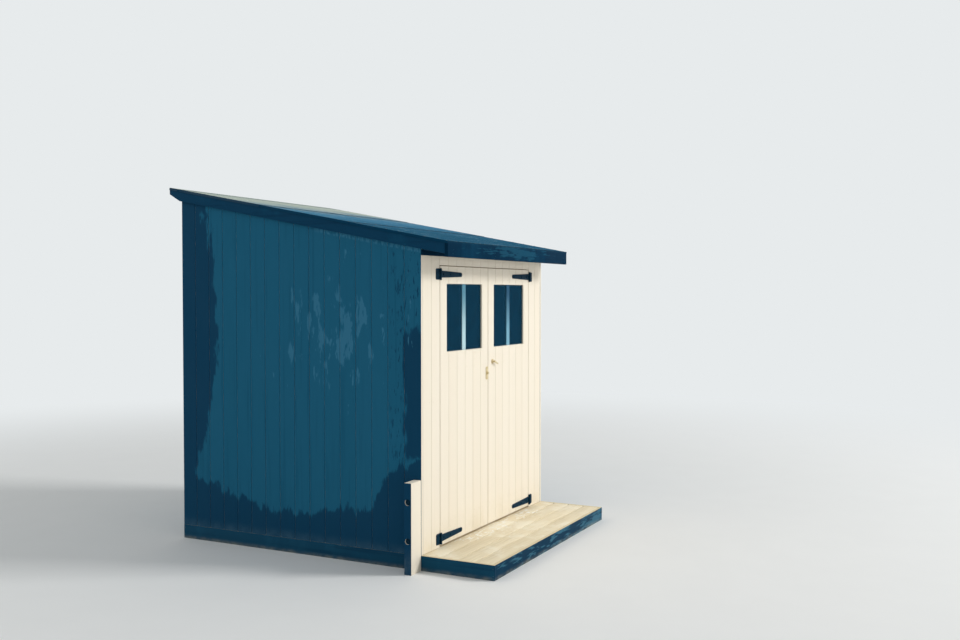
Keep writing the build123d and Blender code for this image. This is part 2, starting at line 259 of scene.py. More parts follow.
# numbers of boards in the rows, and gaps between planks, which the finishes follow as well
boardCounts = {
    "side": 16, "back": 15, "strip": 2, "overDoor": 12, "apron": 4, "floor": 16, "roof": 19, "leaf": 6,
}
plankGaps = {"apron": 0.004, "floor": 0.0015}

hairline = 0.0001  # places nearer than this are the same
closeBy = 0.001  # and nearer than this are at the same edge
most = 0.9  # of a length or a normal: enough to count as all of it
smoothAngle = math.radians(35)

# sizes that the pieces share, read from the frame
wallLow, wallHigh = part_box("left_wall")[0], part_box("right_wall")[1]
feltPoints = [point.co for point in nodes["roof_felt"].data.vertices]
eavesY, tailY = min(p.y for p in feltPoints), max(p.y for p in feltPoints)
eavesTop = max(p.z for p in feltPoints if p.y < eavesY + closeBy)
tailTop = max(p.z for p in feltPoints if p.y > tailY - closeBy)
roofSlope = (tailTop - eavesTop) / (tailY - eavesY)
roofAngle = math.atan(roofSlope)
roofDepths = {"felt": 0.004, "boards": 0.022, "rafters": 0.082}  # under the felt's top, square to the slope
leafLow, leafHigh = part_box("right_door_leaf")
leafPitch = (leafHigh.x - leafLow.x) / boardCounts["leaf"]
glassLow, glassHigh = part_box("right_door_glass")
ledgeLow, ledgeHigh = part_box("right_door_ledges")
rebate = 0.009  # of the panes in the leaves
openLow = Vector((glassLow.x + rebate, leafLow.y, glassLow.z + rebate))
openHigh = Vector((glassHigh.x - rebate, leafHigh.y, glassHigh.z - rebate))


def pitchOf(node, axis, row, gap=0.0):
    low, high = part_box(node)
    return (high[axis] - low[axis] + gap) / boardCounts[row]


def plankPitch(deck):
    return pitchOf(deck + "_deck", 1, deck, plankGaps[deck])


def roofZ(y, depth=0.0):
    return eavesTop + (y - eavesY) * roofSlope - depth / math.cos(roofAngle)


def alongSlope(y):
    return (y - eavesY) / math.cos(roofAngle)


def onAxis(axis, length):
    vector = Vector((0, 0, 0))
    vector[axis] = length
    return vector


def makeActive(*pieces):
    # selects only these; the last one is active
    bpy.ops.object.select_all(action='DESELECT')
    for piece in pieces:
        piece.select_set(True)
    bpy.context.view_layer.objects.active = pieces[-1]


def applyPlace(piece):
    makeActive(piece)
    bpy.ops.object.transform_apply(location=True, rotation=True, scale=True)


def applyModifier(piece, modifier):
    makeActive(piece)
    bpy.ops.object.modifier_apply(modifier=modifier.name)


def addBlock(name, low, high):
    # a block between two corners, to be shaped further
    bpy.ops.object.select_all(action='DESELECT')
    bpy.ops.mesh.primitive_cube_add(size=1, location=[(a + b) / 2 for a, b in zip(low, high)])
    piece = bpy.context.object
    piece.name = name
    piece.scale = [b - a for a, b in zip(low, high)]
    applyPlace(piece)
    return piece


def selectPart(piece, kind, test):
    # goes to edit mode with the vertices, edges or faces that pass the test
    makeActive(piece)
    bpy.ops.object.mode_set(mode='EDIT')
    bpy.ops.mesh.select_mode(type=kind)
    bpy.ops.mesh.select_all(action='DESELECT')
    bpy.ops.object.mode_set(mode='OBJECT')
    points = piece.data.vertices
    if kind == 'EDGE':
        for edge in piece.data.edges:
            edge.select = test(points[edge.vertices[0]].co, points[edge.vertices[1]].co)
    elif kind == 'FACE':
        for face in piece.data.polygons:
            face.select = test(face.center, face.normal)
    else:
        for point in points:
            point.select = test(point.co)
    bpy.ops.object.mode_set(mode='EDIT')


def backToObject():
    bpy.ops.object.mode_set(mode='OBJECT')


def pullOut(x, y, z):
    # extrudes what is selected in edit mode
    bpy.ops.mesh.extrude_region_move(TRANSFORM_OT_translate={"value": (x, y, z)})


def easeEdges(piece, width, test=lambda a, b: True, segments=1):
    selectPart(piece, 'EDGE', test)
    bpy.ops.mesh.bevel(offset=width, segments=segments, affect='EDGES')
    backToObject()


def cutAway(piece, point, normal):
    # takes off what lies beyond a plane and closes the cut
    selectPart(piece, 'VERT', lambda place: True)
    bpy.ops.mesh.bisect(plane_co=point, plane_no=normal, use_fill=True, clear_outer=True)
    backToObject()


def cutToRoof(piece, depth):
    cutAway(piece, (0, eavesY, roofZ(eavesY, depth)), (0, -math.sin(roofAngle), math.cos(roofAngle)))


def repeatAlong(piece, step, count):
    row = piece.modifiers.new("row", 'ARRAY')
    row.use_relative_offset = False
    row.use_constant_offset = True
    row.constant_offset_displace = step
    row.count = count
    applyModifier(piece, row)


def subtractShape(piece, cutter):
    cut = piece.modifiers.new("cut", 'BOOLEAN')
    cut.operation = 'DIFFERENCE'
    cut.solver = 'EXACT'
    cut.object = cutter
    applyModifier(piece, cut)


def copyOf(piece, name):
    makeActive(piece)
    bpy.ops.object.duplicate(linked=False)
    bpy.context.object.name = name
    return bpy.context.object


def copyMoved(piece, name, offset):
    copy = copyOf(piece, name)
    copy.location = offset
    applyPlace(copy)
    return copy


def faceOutwards(piece):
    selectPart(piece, 'VERT', lambda place: True)
    bpy.ops.mesh.normals_make_consistent(inside=False)
    backToObject()


def otherSide(name):
    return name.replace("right", "left") if "right" in name else name.replace("left", "right")


def joinPieces(name, pieces):
    makeActive(*reversed(pieces))
    if len(pieces) > 1:
        bpy.ops.object.join()
    bpy.context.object.name = name
    return bpy.context.object


def deletePiece(piece):
    makeActive(piece)
    bpy.ops.object.delete()


def setFinish(piece, material):
    piece.data.materials.clear()
    piece.data.materials.append(material)


def finishPiece(piece, body, slotName, material, *replaced):
    # outward faces, soft shading on the small bevels, a finish, and its body in the frame
    faceOutwards(piece)
    makeActive(piece)
    bpy.ops.object.shade_smooth_by_angle(angle=smoothAngle)
    piece.data.name = piece.name
    setFinish(piece, material)
    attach(piece, body)
    if replaced:
        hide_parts(*replaced)


def finishPair(piece, body, slotName, materials, *replaced):
    # a piece and its mirror image on the other side, with one material for both or one for each
    image = copyOf(piece, otherSide(piece.name))
    image.scale.x = -1
    applyPlace(image)
    faceOutwards(image)
    finishPiece(piece, body, slotName, materials[0], *replaced)
    finishPiece(image, otherSide(body), slotName, materials[-1], *[otherSide(node) for node in replaced])


# heads of nails, screws and bolts: radius, height, corners, and how much of the height is domed
fasteners = {
    "wallNail": (0.0035, 0.0014, 8, 0.45), "friezeNail": (0.0035, 0.0012, 8, 0.45),
    "raftNail": (0.0038, 0.0012, 8, 0.45), "roofNail": (0.0040, 0.0014, 8, 0.45),
    "clout": (0.0055, 0.0009, 8, 0.45), "leafNail": (0.0032, 0.0012, 8, 0.45),
    "ledgeScrew": (0.0045, 0.0014, 8, 0.45), "plateScrew": (0.0042, 0.0016, 10, 0.45),
    "lockScrew": (0.0032, 0.0012, 10, 0.45), "keyhole": (0.0022, 0.0006, 12, 0.45),
    "strapBolt": (0.0075, 0.0042, 12, 0.70), "pinEnd": (0.0042, 0.0030, 12, 0.60),
    "postWasher": (0.0165, 0.0020, 24, 0.45), "postBolt": (0.0095, 0.0060, 16, 0.70),
    "postHole": (0.0190, 0.0210, 28, 0.02),
}


def addHead(kind, place, outward):
    radius, height, corners, domed = fasteners[kind]
    bpy.ops.object.select_all(action='DESELECT')
    middle = (0, 0, height / 2)
    bpy.ops.mesh.primitive_cylinder_add(vertices=corners, radius=radius, depth=height, location=middle)
    head = bpy.context.object
    head.name = kind
    applyPlace(head)
    easeEdges(head, height * domed, lambda a, b: min(a.z, b.z) > height * most, segments=2)
    head.rotation_euler = Vector((0, 0, 1)).rotation_difference(Vector(outward)).to_euler()
    head.location = place
    applyPlace(head)
    return head


def headRows(kind, start, outward, *rows):
    # heads repeated by one or more (step, count) rows
    heads = addHead(kind, start, outward)
    for step, count in rows:
        repeatAlong(heads, step, count)
    return heads


# boards with tongues: the chamfer along their edges, the joint between two, and the tongue that closes it
boardEdges = {"chamfer": 0.0026, "innerShare": 0.4, "joint": 0.0006, "tongue": 0.006, "tongueInset": 0.25}


def jointedBoard(name, low, high, across, through, outer, chamfer):
    along = 3 - across - through
    length = high[along] - low[along]
    thickness = high[through] - low[through]
    board = addBlock(name, low, Vector(high) - onAxis(across, boardEdges["joint"]))
    outerPlace = high[through] if outer > 0 else low[through]

    def isLong(a, b):
        return abs(a[along] - b[along]) > length * most

    def isOuter(a):
        return abs(a[through] - outerPlace) < hairline

    def isInner(a, b):
        onBack = abs(abs(a[through] - outerPlace) - thickness) < hairline
        return onBack and abs(a[across] - b[across]) < hairline

    easeEdges(board, chamfer, lambda a, b: isLong(a, b) and isOuter(a))
    easeEdges(board, chamfer * boardEdges["innerShare"], lambda a, b: isLong(a, b) and isInner(a, b))
    selectPart(board, 'FACE', lambda middle, normal: normal[across] > most)
    bpy.ops.mesh.inset(thickness=thickness * boardEdges["tongueInset"])
    pullOut(*onAxis(across, boardEdges["tongue"]))
    backToObject()
    return board


def boardRow(name, low, high, across, through, outer, count, chamfer=boardEdges["chamfer"]):
    # a row of jointed boards between two corners
    pitch = (high[across] - low[across]) / count
    firstHigh = Vector(high)
    firstHigh[across] = low[across] + pitch
    board = jointedBoard(name, low, firstHigh, across, through, outer, chamfer)
    repeatAlong(board, onAxis(across, pitch), count)
    cutAway(board, Vector(high), onAxis(across, 1))
    return board


# finishes, all from Object coordinates; a look's "long" is the grain's axis, and its "rows" are boardTone's
def setSurface(shader, colour, rough, specular, relief, strength, distance):
    fill(shader["Base Color"], colour)
    fill(shader["Roughness"], rough)
    fill(shader["Specular IOR Level"], specular)
    bump = field(relief, "ShaderNodeBump", Strength=strength, Distance=distance, Height=relief)
    fill(shader["Normal"], bump)


def boardTone(place, axis, start, pitch):
    # a steady random number for each board, from the axis across them, the first one's place and their pitch
    number = ((axesOf(place)[axis] - start) / pitch).calculate('FLOOR')
    return field(place, "ShaderNodeTexWhiteNoise", "Value", noise_dimensions='1D', W=number)


def movedByTone(place, tone):
    # another piece of the same grain for each board
    x, y, z = timberGrain["toneShift"]
    offset = field(place, "ShaderNodeCombineXYZ", i0=tone * x, i1=tone * y, i2=tone * z)
    return field(place, "ShaderNodeVectorMath", operation='ADD', i0=place, i1=offset)


def turnedWhere(place, axis, low, high, around, degrees):
    # turns the grain where the place's distance on one axis lies between two values
    distance = abs(axesOf(place)[axis])
    inside = distance.calculate('GREATER_THAN', low) * distance.calculate('LESS_THAN', high)
    angle = math.radians(degrees)
    turned = field(place, "ShaderNodeVectorRotate", rotation_type=around, Vector=place, Angle=angle)
    return field(place, "ShaderNodeMix", 1, data_type='VECTOR', i0=inside, i4=place, i5=turned)


# sawn timber; pairs are a pattern's scale and stretch, or where it starts to show and is whole
timberGrain = {
    "bandStretch": 16, "bandTwist": 0.7, "darkAt": 0.28, "middleAt": 0.49, "lightAt": 0.74,
    "ringShare": 0.14, "ringAlong": 0.07,
    "rings": {"Scale": 22.0, "Distortion": 8.0, "Detail": 3.0, "Detail Scale": 0.8},
    "fibres": (520, 45), "fibrous": (0.35, 0.7), "fibreMix": 0.35,
    "dustScale": 3.4, "dusty": (0.46, 0.62), "toneShift": (7.3, 5.1, 9.7),
    "evenBands": (0.3, 0.7), "rough": (0.82, 0.68), "specular": 0.2,
    "bandRelief": 0.6, "fibreRelief": 0.4, "depth": 0.0015,
}


def woodColour(place, look):
    # growth rings and bands of grain with fine fibres; returns the colour and two patterns
    wood, axis = timberGrain, look["long"]
    bands = grain(place, axis, look["bands"], wood["bandStretch"], detail=5, distortion=wood["bandTwist"])
    sockets = {"Vector": drawnOut(place, axis, 1.0, wood["ringAlong"]), **wood["rings"]}
    rings = field(place, "ShaderNodeTexWave", "Fac", bands_direction='DIAGONAL', **sockets)
    stops = [(wood[shade + "At"], look[shade]) for shade in ("dark", "middle", "light")]
    colour = ramped(bands * (1 - wood["ringShare"]) + rings * wood["ringShare"], stops)
    fibres = grain(place, axis, *wood["fibres"], detail=2)
    shown = fade(fibres, *wood["fibrous"], 0, wood["fibreMix"])
    return mixed(shown, colour, look["dark"]), bands, fibres


paintedDepth = 0.0195  # of the boards' 20 mm


def facesRoom(place):
    # 1 on the boards' inner faces, which are left bare
    x, y = axesOf(place)[:2]
    beyond = larger(abs(x) - (wallHigh.x - paintedDepth), abs(y) - (wallHigh.y - paintedDepth))
    return beyond.calculate('LESS_THAN', 0.0)


def onFaces(colour, paint, *sides):
    # another paint on the faces that look along an axis; each side is (axis, fades in from, is whole at)
    axes = axesOf(field(colour, "ShaderNodeTexCoord", "Normal"))
    return mixed(reduce(larger, [fade(axes[axis], low, high) for axis, low, high in sides]), colour, paint)


bareLook = {
    "long": 0, "bands": 48, "light": (0.56, 0.405, 0.235), "middle": (0.47, 0.315, 0.165),
    "dark": (0.30, 0.185, 0.090), "dust": (0.42, 0.31, 0.19), "dustMix": 0.3, "bump": 0.4,
}


# brushed paint; pairs are a pattern's scale and stretch, or where it starts to show and is whole
brushwork = {
    "mottleStretch": (1, 1, 0.55), "mottled": (0.5, 0.72), "evenMottle": (0.3, 0.7),
    "streaks": (46, 34), "streaked": (0.52, 0.74), "chips": (30, 4), "chipEdge": 0.02, "chipMix": 0.7,
    "splashScale": 9.0, "splashed": (0.38, 0.68), "leastDust": 0.1, "bareToneMix": 0.35,
    "hairs": (420, 30), "wood": (90, 18), "woodTwist": 0.4,
    "hairRelief": 0.35, "woodRelief": 0.65, "chipRelief": 0.4, "depth": 0.0012,
    "smoother": 0.06, "rougher": 0.08,
}


def paintMaterial(name, look):
    # brushed paint on wood: boards of slightly different tone, mottled and streaked, dusty near the ground
    material, shader, place = newMaterial(name)
    work, axis = brushwork, look["long"]
    colour = look["base"]
    tone = boardTone(place, *look["rows"]) if "rows" in look else None
    if tone:
        colour = mixed(fade(tone, 0, 1, 0, look["toneMix"]), colour, look["light"])
    mottle = noise(stretched(place, work["mottleStretch"]), look["mottleScale"], detail=5, roughness=0.62)
    colour = mixed(fade(mottle, *work["mottled"], 0, look["mottleMix"]), colour, look["light"])
    streak = grain(place, axis, *work["streaks"], detail=3)
    colour = mixed(fade(streak, *work["streaked"], 0, look["streakMix"]), colour, look["dark"])
    if "shade" in look:
        colour = look["shade"](place, colour, look)
    splash = noise(place, work["splashScale"], detail=5, roughness=0.7)
    low = fade(axesOf(place)[2], look["dustLow"], look["dustHigh"], 1, 0)
    dusty = low * fade(splash, *work["splashed"], work["leastDust"], look["dustMix"])
    colour = mixed(dusty, colour, look["dust"])
    flaking = grain(place, axis, *work["chips"], detail=6)
    chips = fade(flaking, look["chipFrom"], look["chipFrom"] + work["chipEdge"])
    colour = mixed(chips * work["chipMix"], colour, look["under"])
    if "faces" in look:
        colour = onFaces(colour, *look["faces"])
    if tone:
        bare = woodColour(movedByTone(place, tone), {**bareLook, "long": axis})[0]
        bare = mixed(fade(tone, 0, 1, 0, work["bareToneMix"]), bare, bareLook["dark"])
        colour = mixed(facesRoom(place), colour, bare)
    hairs = grain(place, axis, *work["hairs"], detail=3)
    wood = grain(place, axis, *work["wood"], detail=4, distortion=work["woodTwist"])
    relief = hairs * work["hairRelief"] + wood * work["woodRelief"] - chips * work["chipRelief"]
    smoothest, roughest = look["rough"] - work["smoother"], look["rough"] + work["rougher"]
    rough = fade(mottle, *work["evenMottle"], smoothest, roughest)
    setSurface(shader, colour, rough, look["specular"], relief, look["bump"], work["depth"])
    return material


paints = {
    "navy": (0.0028, 0.046, 0.102), "teal": (0.0100, 0.114, 0.203), "cream": (0.815, 0.736, 0.608),
    "buff": (0.740, 0.630, 0.410), "fasciaNavy": (0.0016, 0.022, 0.050), "barBlue": (0.085, 0.23, 0.31),
}


# painted shade, a paler patch and a painted highlight on the side walls, in metres; a pair is where a mark
# starts to show and where it is whole
sideShading = {
    "runs": (17, 3.2), "bristles": (85, 4.5), "bristleShare": 0.28, "raggedness": 0.34,
    "backEdge": (0.615, 0.640), "backNarrowAt": 1.45, "backCurve": 0.19,
    "foot": (0.275, 0.250), "footCurve": 0.29, "footStep": (-0.58, -0.68), "footStepRise": 0.16,
    "corner": (-0.800, -0.825), "cornerRaggedness": 0.6, "cornerMiddle": 1.06, "cornerHalf": (0.40, 0.36),
    "flecked": (0.60, 0.63), "fleckedFrom": (-0.66, -0.76),
    "shoulder": (-0.9, -0.36, 1.42), "shoulderStretch": (1, 2.6, 3.0), "shoulderFall": 0.105,
    "paleAndHighlight": (0.478, 0.496), "paleAndHighlightMix": 0.7,
    "underVerge": (0.112, 0.100), "vergeFrom": (-0.10, -0.25), "vergeLineBreaks": (0.46, 0.52),
}


def sideShade(place, colour, look):
    # painted shade: darker along the back edge, near the ground and at the front corner, with ragged runs
    y, z = axesOf(place)[1:]
    wearAndShading = sideShading
    runs = grain(place, 2, *wearAndShading["runs"], detail=6)
    bristles = grain(place, 2, *wearAndShading["bristles"], detail=4)
    ragged = runs * (1 - wearAndShading["bristleShare"]) + bristles * wearAndShading["bristleShare"]
    drift = (ragged - 0.5) * wearAndShading["raggedness"]
    back = fade(y - squared(z - wearAndShading["backNarrowAt"]) * wearAndShading["backCurve"] + drift, *wearAndShading["backEdge"])
    step = fade(y, *wearAndShading["footStep"], 0.0, wearAndShading["footStepRise"])
    low = fade(z - squared(y) * wearAndShading["footCurve"] - step - drift, *wearAndShading["foot"])
    midHeight = fade(abs(z - wearAndShading["cornerMiddle"]) + drift, *wearAndShading["cornerHalf"])
    corner = fade(y - drift * wearAndShading["cornerRaggedness"], *wearAndShading["corner"]) * midHeight
    flecks = fade(bristles, *wearAndShading["flecked"]) * fade(y, *wearAndShading["fleckedFrom"])
    dark = reduce(larger, (back, low, corner, flecks))
    colour = mixed(dark * look["shadeMix"], colour, look["shadeColour"])
    # a paler patch towards the front at shoulder height
    shoulder = wearAndShading["shoulder"]
    offset = field(place, "ShaderNodeVectorMath", operation='SUBTRACT', i0=place, i1=shoulder)
    spread = stretched(offset, wearAndShading["shoulderStretch"])
    distance = field(place, "ShaderNodeVectorMath", "Value", operation='LENGTH', i0=spread)
    paleAndHighlight = fade(ragged - distance * wearAndShading["shoulderFall"], *wearAndShading["paleAndHighlight"])
    # a thin painted highlight under the verge
    drop = y * roofSlope + roofZ(0) - z
    line = fade(drop, *wearAndShading["underVerge"]) * fade(y, *wearAndShading["vergeFrom"]) * fade(bristles, *wearAndShading["vergeLineBreaks"])
    return mixed(larger(paleAndHighlight, line) * wearAndShading["paleAndHighlightMix"], colour, look["paleAndHighlight"])


# painted shade on the back wall, under the eaves and at the foot; heights in metres
eavesAndFootShading = {"runs": (20, 7), "eaves": (2.06, 2.22), "eavesRuns": 2.0, "foot": (0.28, 0.20), "footRuns": 0.9}


def eavesAndFootShade(place, colour, look):
    # painted shade: darker in runs under the eaves and along an uneven foot
    z = axesOf(place)[2]
    runs = grain(place, 2, *eavesAndFootShading["runs"], detail=6) - 0.5
    top = fade(z + runs * eavesAndFootShading["eavesRuns"], *eavesAndFootShading["eaves"], 0, look["shadeMix"])
    footShade = fade(z - runs * eavesAndFootShading["footRuns"], *eavesAndFootShading["foot"], 0, look["shadeMix"])
    return mixed(larger(top, footShade), colour, look["shadeColour"])


def levelStreaks(place, broad, fine, fineShare):
    coarse = grain(place, 0, *broad, detail=5)
    return coarse * (1 - fineShare) + grain(place, 0, *fine, detail=3) * fineShare


# level streaks on the front's trims, a painted sheen on the fascia: the scales and stretches of two grains,
# and the share of the second
fasciaSheen = {
    "streaks": ((34, 5), (150, 14), 0.4), "wornAndSheen": (0.400, 0.425), "wornAndSheenMix": 0.8,
    "middleX": 0.02, "narrowing": 0.36, "underTop": 0.040, "thinning": 3.4, "beyondWall": (0.1, 0.15),
}
rimWear = {
    "streaks": ((30, 6), (160, 12), 0.35), "wornAndSheen": (0.515, 0.550), "wornAndSheenMix": 0.7, "moreToRight": 0.055,
    "faceDepth": (0.004, 0.001), "stainMix": 0.75,
}


def fasciaSheenStreaks(place, colour, look):
    # painted sheen: lighter level streaks along the upper half of the fascia
    x, y, z = axesOf(place)
    wearAndShading = fasciaSheen
    aside = squared(x - wearAndShading["middleX"]) * wearAndShading["narrowing"]
    upDown = abs(z - (eavesTop - wearAndShading["underTop"])) * wearAndShading["thinning"]
    wornAndSheen = fade(levelStreaks(place, *wearAndShading["streaks"]) - aside - upDown, *wearAndShading["wornAndSheen"])
    start, whole = wearAndShading["beyondWall"]
    inFront = fade(y, wallLow.y - start, wallLow.y - whole)
    return mixed(wornAndSheen * inFront * wearAndShading["wornAndSheenMix"], colour, look["streaked"])


def sprayedRim(place, colour, look):
    # the front rim's face is stained dark, and spray has bleached streaks in it, more of them to the right
    x, y = axesOf(place)[:2]
    wearAndShading = rimWear
    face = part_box("base_rim_front")[0].y
    start, whole = wearAndShading["faceDepth"]
    onFace = fade(y, face + start, face + whole)
    colour = mixed(onFace * wearAndShading["stainMix"], colour, paints["fasciaNavy"])
    wornAndSheen = fade(levelStreaks(place, *wearAndShading["streaks"]) + x * wearAndShading["moreToRight"], *wearAndShading["wornAndSheen"])
    return mixed(wornAndSheen * onFace * wearAndShading["wornAndSheenMix"], colour, look["sprayed"])


# painted light on the bars: lit low down, in painted shade at the top
barPaintedLight = {"patchScale": 9.0, "raggedness": 0.12, "litBelowHeights": (1.33, 1.70)}


def barLitBelowShade(place, colour, look):
    # painted light: the lower part of the bars is paler, lit below painted shade at the top
    patches = noise(place, barPaintedLight["patchScale"], detail=3) - 0.5
    height = axesOf(place)[2] + patches * barPaintedLight["raggedness"]
    return mixed(fade(height, *barPaintedLight["litBelowHeights"]), look["paintedLight"], colour)


# painted boards of the walls and leaves
sideLook = {
    "base": paints["teal"], "light": (0.0145, 0.128, 0.226), "dark": (0.0055, 0.083, 0.155),
    "toneMix": 0.30, "mottleScale": 3.2, "mottleMix": 0.5, "streakMix": 0.55, "long": 2, "bump": 0.45,
    "rough": 0.66, "specular": 0.07,
    "dust": (0.10, 0.19, 0.25), "dustLow": 0.08, "dustHigh": 0.16, "dustMix": 0.35,
    "chipFrom": 0.80, "under": (0.12, 0.17, 0.18), "paleAndHighlight": (0.042, 0.19, 0.31),
    # painted shade in navy, and a paler patch with a painted highlight, come from sideShade
    "shade": sideShade, "shadeMix": 0.94, "shadeColour": paints["navy"],
    "rows": (1, wallLow.y, pitchOf("left_wall", 1, "side")),
}
creamFront = (paints["cream"], (1, -0.93, -0.98))
sidePaint = paintMaterial("sidePaint", {**sideLook, "faces": creamFront})
# the right wall has the same painted shade, at under half strength
rightPaint = paintMaterial("rightPaint", {**sideLook, "faces": creamFront, "shadeMix": 0.45})
# the back wall has painted shade under the eaves and at the foot
backPaint = paintMaterial("backPaint", {
    **sideLook, "rows": (0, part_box("back_wall")[0].x, pitchOf("back_wall", 0, "back")),
    "shade": eavesAndFootShade, "shadeMix": 0.45,
})
frontLook = {
    "base": paints["cream"], "light": (0.838, 0.768, 0.650), "dark": (0.745, 0.660, 0.530), "toneMix": 0.45,
    "mottleScale": 2.4, "mottleMix": 0.3, "streakMix": 0.16, "long": 2, "bump": 0.35, "rough": 0.60,
    "specular": 0.15, "dust": (0.66, 0.56, 0.37), "dustLow": 0.08, "dustHigh": 0.30, "dustMix": 0.40,
    "chipFrom": 0.83, "under": (0.36, 0.33, 0.27),
    "rows": (0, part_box("front_wall_right")[0].x, pitchOf("front_wall_right", 0, "strip")),
}
frontPaint = paintMaterial("frontPaint", frontLook)
rightDoorPaint = paintMaterial("rightDoorPaint", {**frontLook, "rows": (0, leafLow.x, leafPitch)})
leftDoorPaint = paintMaterial("leftDoorPaint", {**frontLook, "rows": (0, -leafHigh.x, leafPitch)})

# bars between the panes, their side faces painted navy as painted shade
barLook = {
    "base": paints["barBlue"], "light": (0.16, 0.31, 0.38), "dark": (0.05, 0.16, 0.24), "mottleScale": 6,
    "mottleMix": 0.6, "streakMix": 0.4, "long": 2, "bump": 0.3, "rough": 0.6, "specular": 0.1,
    "dust": (0.6, 0.55, 0.45), "dustLow": 1.29, "dustHigh": 1.32, "dustMix": 0.5, "chipFrom": 0.8,
    "under": (0.5, 0.45, 0.35), "shade": barLitBelowShade, "paintedLight": (0.43, 0.61, 0.65),
    "faces": (paints["navy"], (0, 0.7, 0.95), (0, -0.7, -0.95)),
}
leftBarPaint = paintMaterial("leftBarPaint", barLook)
# the right bar is a darker copy, painted shade
rightBarPaint = paintMaterial("rightBarPaint", {
    **barLook, "base": (0.014, 0.075, 0.145), "light": (0.03, 0.12, 0.20), "paintedLight": (0.17, 0.37, 0.48),
})

# trims
trimLook = {
    "base": paints["navy"], "light": (0.006, 0.075, 0.150), "dark": (0.0012, 0.028, 0.066),
    "mottleScale": 4, "mottleMix": 0.6, "streakMix": 0.5, "long": 1, "bump": 0.45, "rough": 0.64,
    "specular": 0.06, "dust": (0.10, 0.16, 0.19), "dustLow": 0.0, "dustHigh": 0.1, "dustMix": 0.4,
    "chipFrom": 0.78, "under": (0.16, 0.19, 0.19),
}
trimPaint = paintMaterial("trimPaint", trimLook)
# the fascia's upward faces and edges are lighter, a painted highlight, and its paler streaks are painted
# sheen
fasciaPaint = paintMaterial("fasciaPaint", {
    **trimLook, "base": paints["fasciaNavy"], "light": (0.005, 0.050, 0.100), "long": 0,
    "specular": 0.015, "faces": ((0.070, 0.230, 0.360), (2, 0.1, 0.6)),
    "shade": fasciaSheenStreaks, "streaked": (0.0100, 0.068, 0.118),
})
rimPaint = paintMaterial("rimPaint", {
    **trimLook, "base": (0.006, 0.060, 0.115), "light": (0.016, 0.100, 0.180), "dustHigh": 0.03,
    "dustMix": 0.5, "dust": (0.34, 0.33, 0.26), "chipFrom": 0.76, "faces": (paints["buff"], (2, 0.3, 0.8)),
    "shade": sprayedRim, "sprayed": (0.045, 0.155, 0.225),
})
# painted shade: the post is cream, and every face but its front and top is painted navy for the shade those
# faces lay in
postPaint = paintMaterial("postPaint", {
    **trimLook, "long": 2, "dustHigh": 0.18, "dust": (0.12, 0.17, 0.19),
    "faces": (paints["cream"], (1, -0.6, -0.8), (2, 0.6, 0.8)),
})


def woodMaterial(name, look):
    # bare timber: grain, a tone for each board, dust that lies in patches
    material, shader, place = newMaterial(name)
    grown = turnedWhere(place, *look["turned"]) if "turned" in look else place
    tone = boardTone(place, *look["rows"]) if "rows" in look else None
    if tone:
        grown = movedByTone(place, tone)
    colour, bands, fibres = woodColour(grown, look)
    if tone:
        colour = mixed(fade(tone, 0, 1, 0, look["toneMix"]), colour, look["dark"])
    dusted = noise(place, timberGrain["dustScale"], detail=6, roughness=0.65)
    colour = mixed(fade(dusted, *timberGrain["dusty"], 0, look["dustMix"]), colour, look["dust"])
    if "outside" in look:
        colour = look["outside"](place, colour)
    rough = fade(bands, *timberGrain["evenBands"], *timberGrain["rough"])
    relief = bands * timberGrain["bandRelief"] + fibres * timberGrain["fibreRelief"]
    setSurface(shader, colour, rough, timberGrain["specular"], relief, look["bump"], timberGrain["depth"])
    return material


# paint on the bare timber: soft at the wall's line, and in drops near the doors
timberPaint = {
    "softLine": 0.004, "drops": (0.5, 1.2, 1.0), "dropScale": 34.0, "dropped": (0.645, 0.660),
    "nearDoors": (0.20, 0.08), "doorsX": 0.08, "beside": (0.46, 0.62), "change": 0.11,
    "dropMix": 0.85, "dropColour": (0.97, 0.94, 0.85),
}


def paintedOutside(place, colour):
    # the rafters and soffit are bare in the room and painted where they stand out
    outside = fade(abs(axesOf(place)[1]), wallHigh.y - timberPaint["softLine"], wallHigh.y)
    return mixed(outside, colour, paints["fasciaNavy"])


def paintDrops(place, colour):
    # drops and scuffs of pale paint lie on the deck near the doors
    x, y = axesOf(place)[:2]
    paint = timberPaint
    drops = noise(stretched(place, paint["drops"]), paint["dropScale"], detail=5, roughness=0.68)
    start, whole = paint["nearDoors"]
    near = fade(y, wallLow.y - start, wallLow.y - whole, 0.0, paint["change"])
    beside = fade(abs(x - paint["doorsX"]), *paint["beside"], 0.0, paint["change"])
    dropped = fade(drops + near - beside, *paint["dropped"], 0, paint["dropMix"])
    return mixed(dropped, colour, paint["dropColour"])


deckLook = {
    "long": 0, "bands": 42, "light": (0.93, 0.83, 0.63), "middle": (0.90, 0.79, 0.57),
    "dark": (0.74, 0.635, 0.445), "dust": (0.94, 0.87, 0.70), "dustMix": 0.8, "toneMix": 0.4, "bump": 0.45,
    "rows": (1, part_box("apron_deck")[0].y, plankPitch("apron")),
}
deckWood = woodMaterial("deckWood", {**deckLook, "outside": paintDrops})
floorWood = woodMaterial("floorWood", {
    **deckLook, "light": (0.62, 0.49, 0.31), "middle": (0.52, 0.40, 0.24), "dark": (0.40, 0.30, 0.18),
    "dustMix": 0.3, "toneMix": 0.5, "rows": (1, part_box("floor_deck")[0].y, plankPitch("floor")),
})
acrossWood = woodMaterial("acrossWood", bareLook)
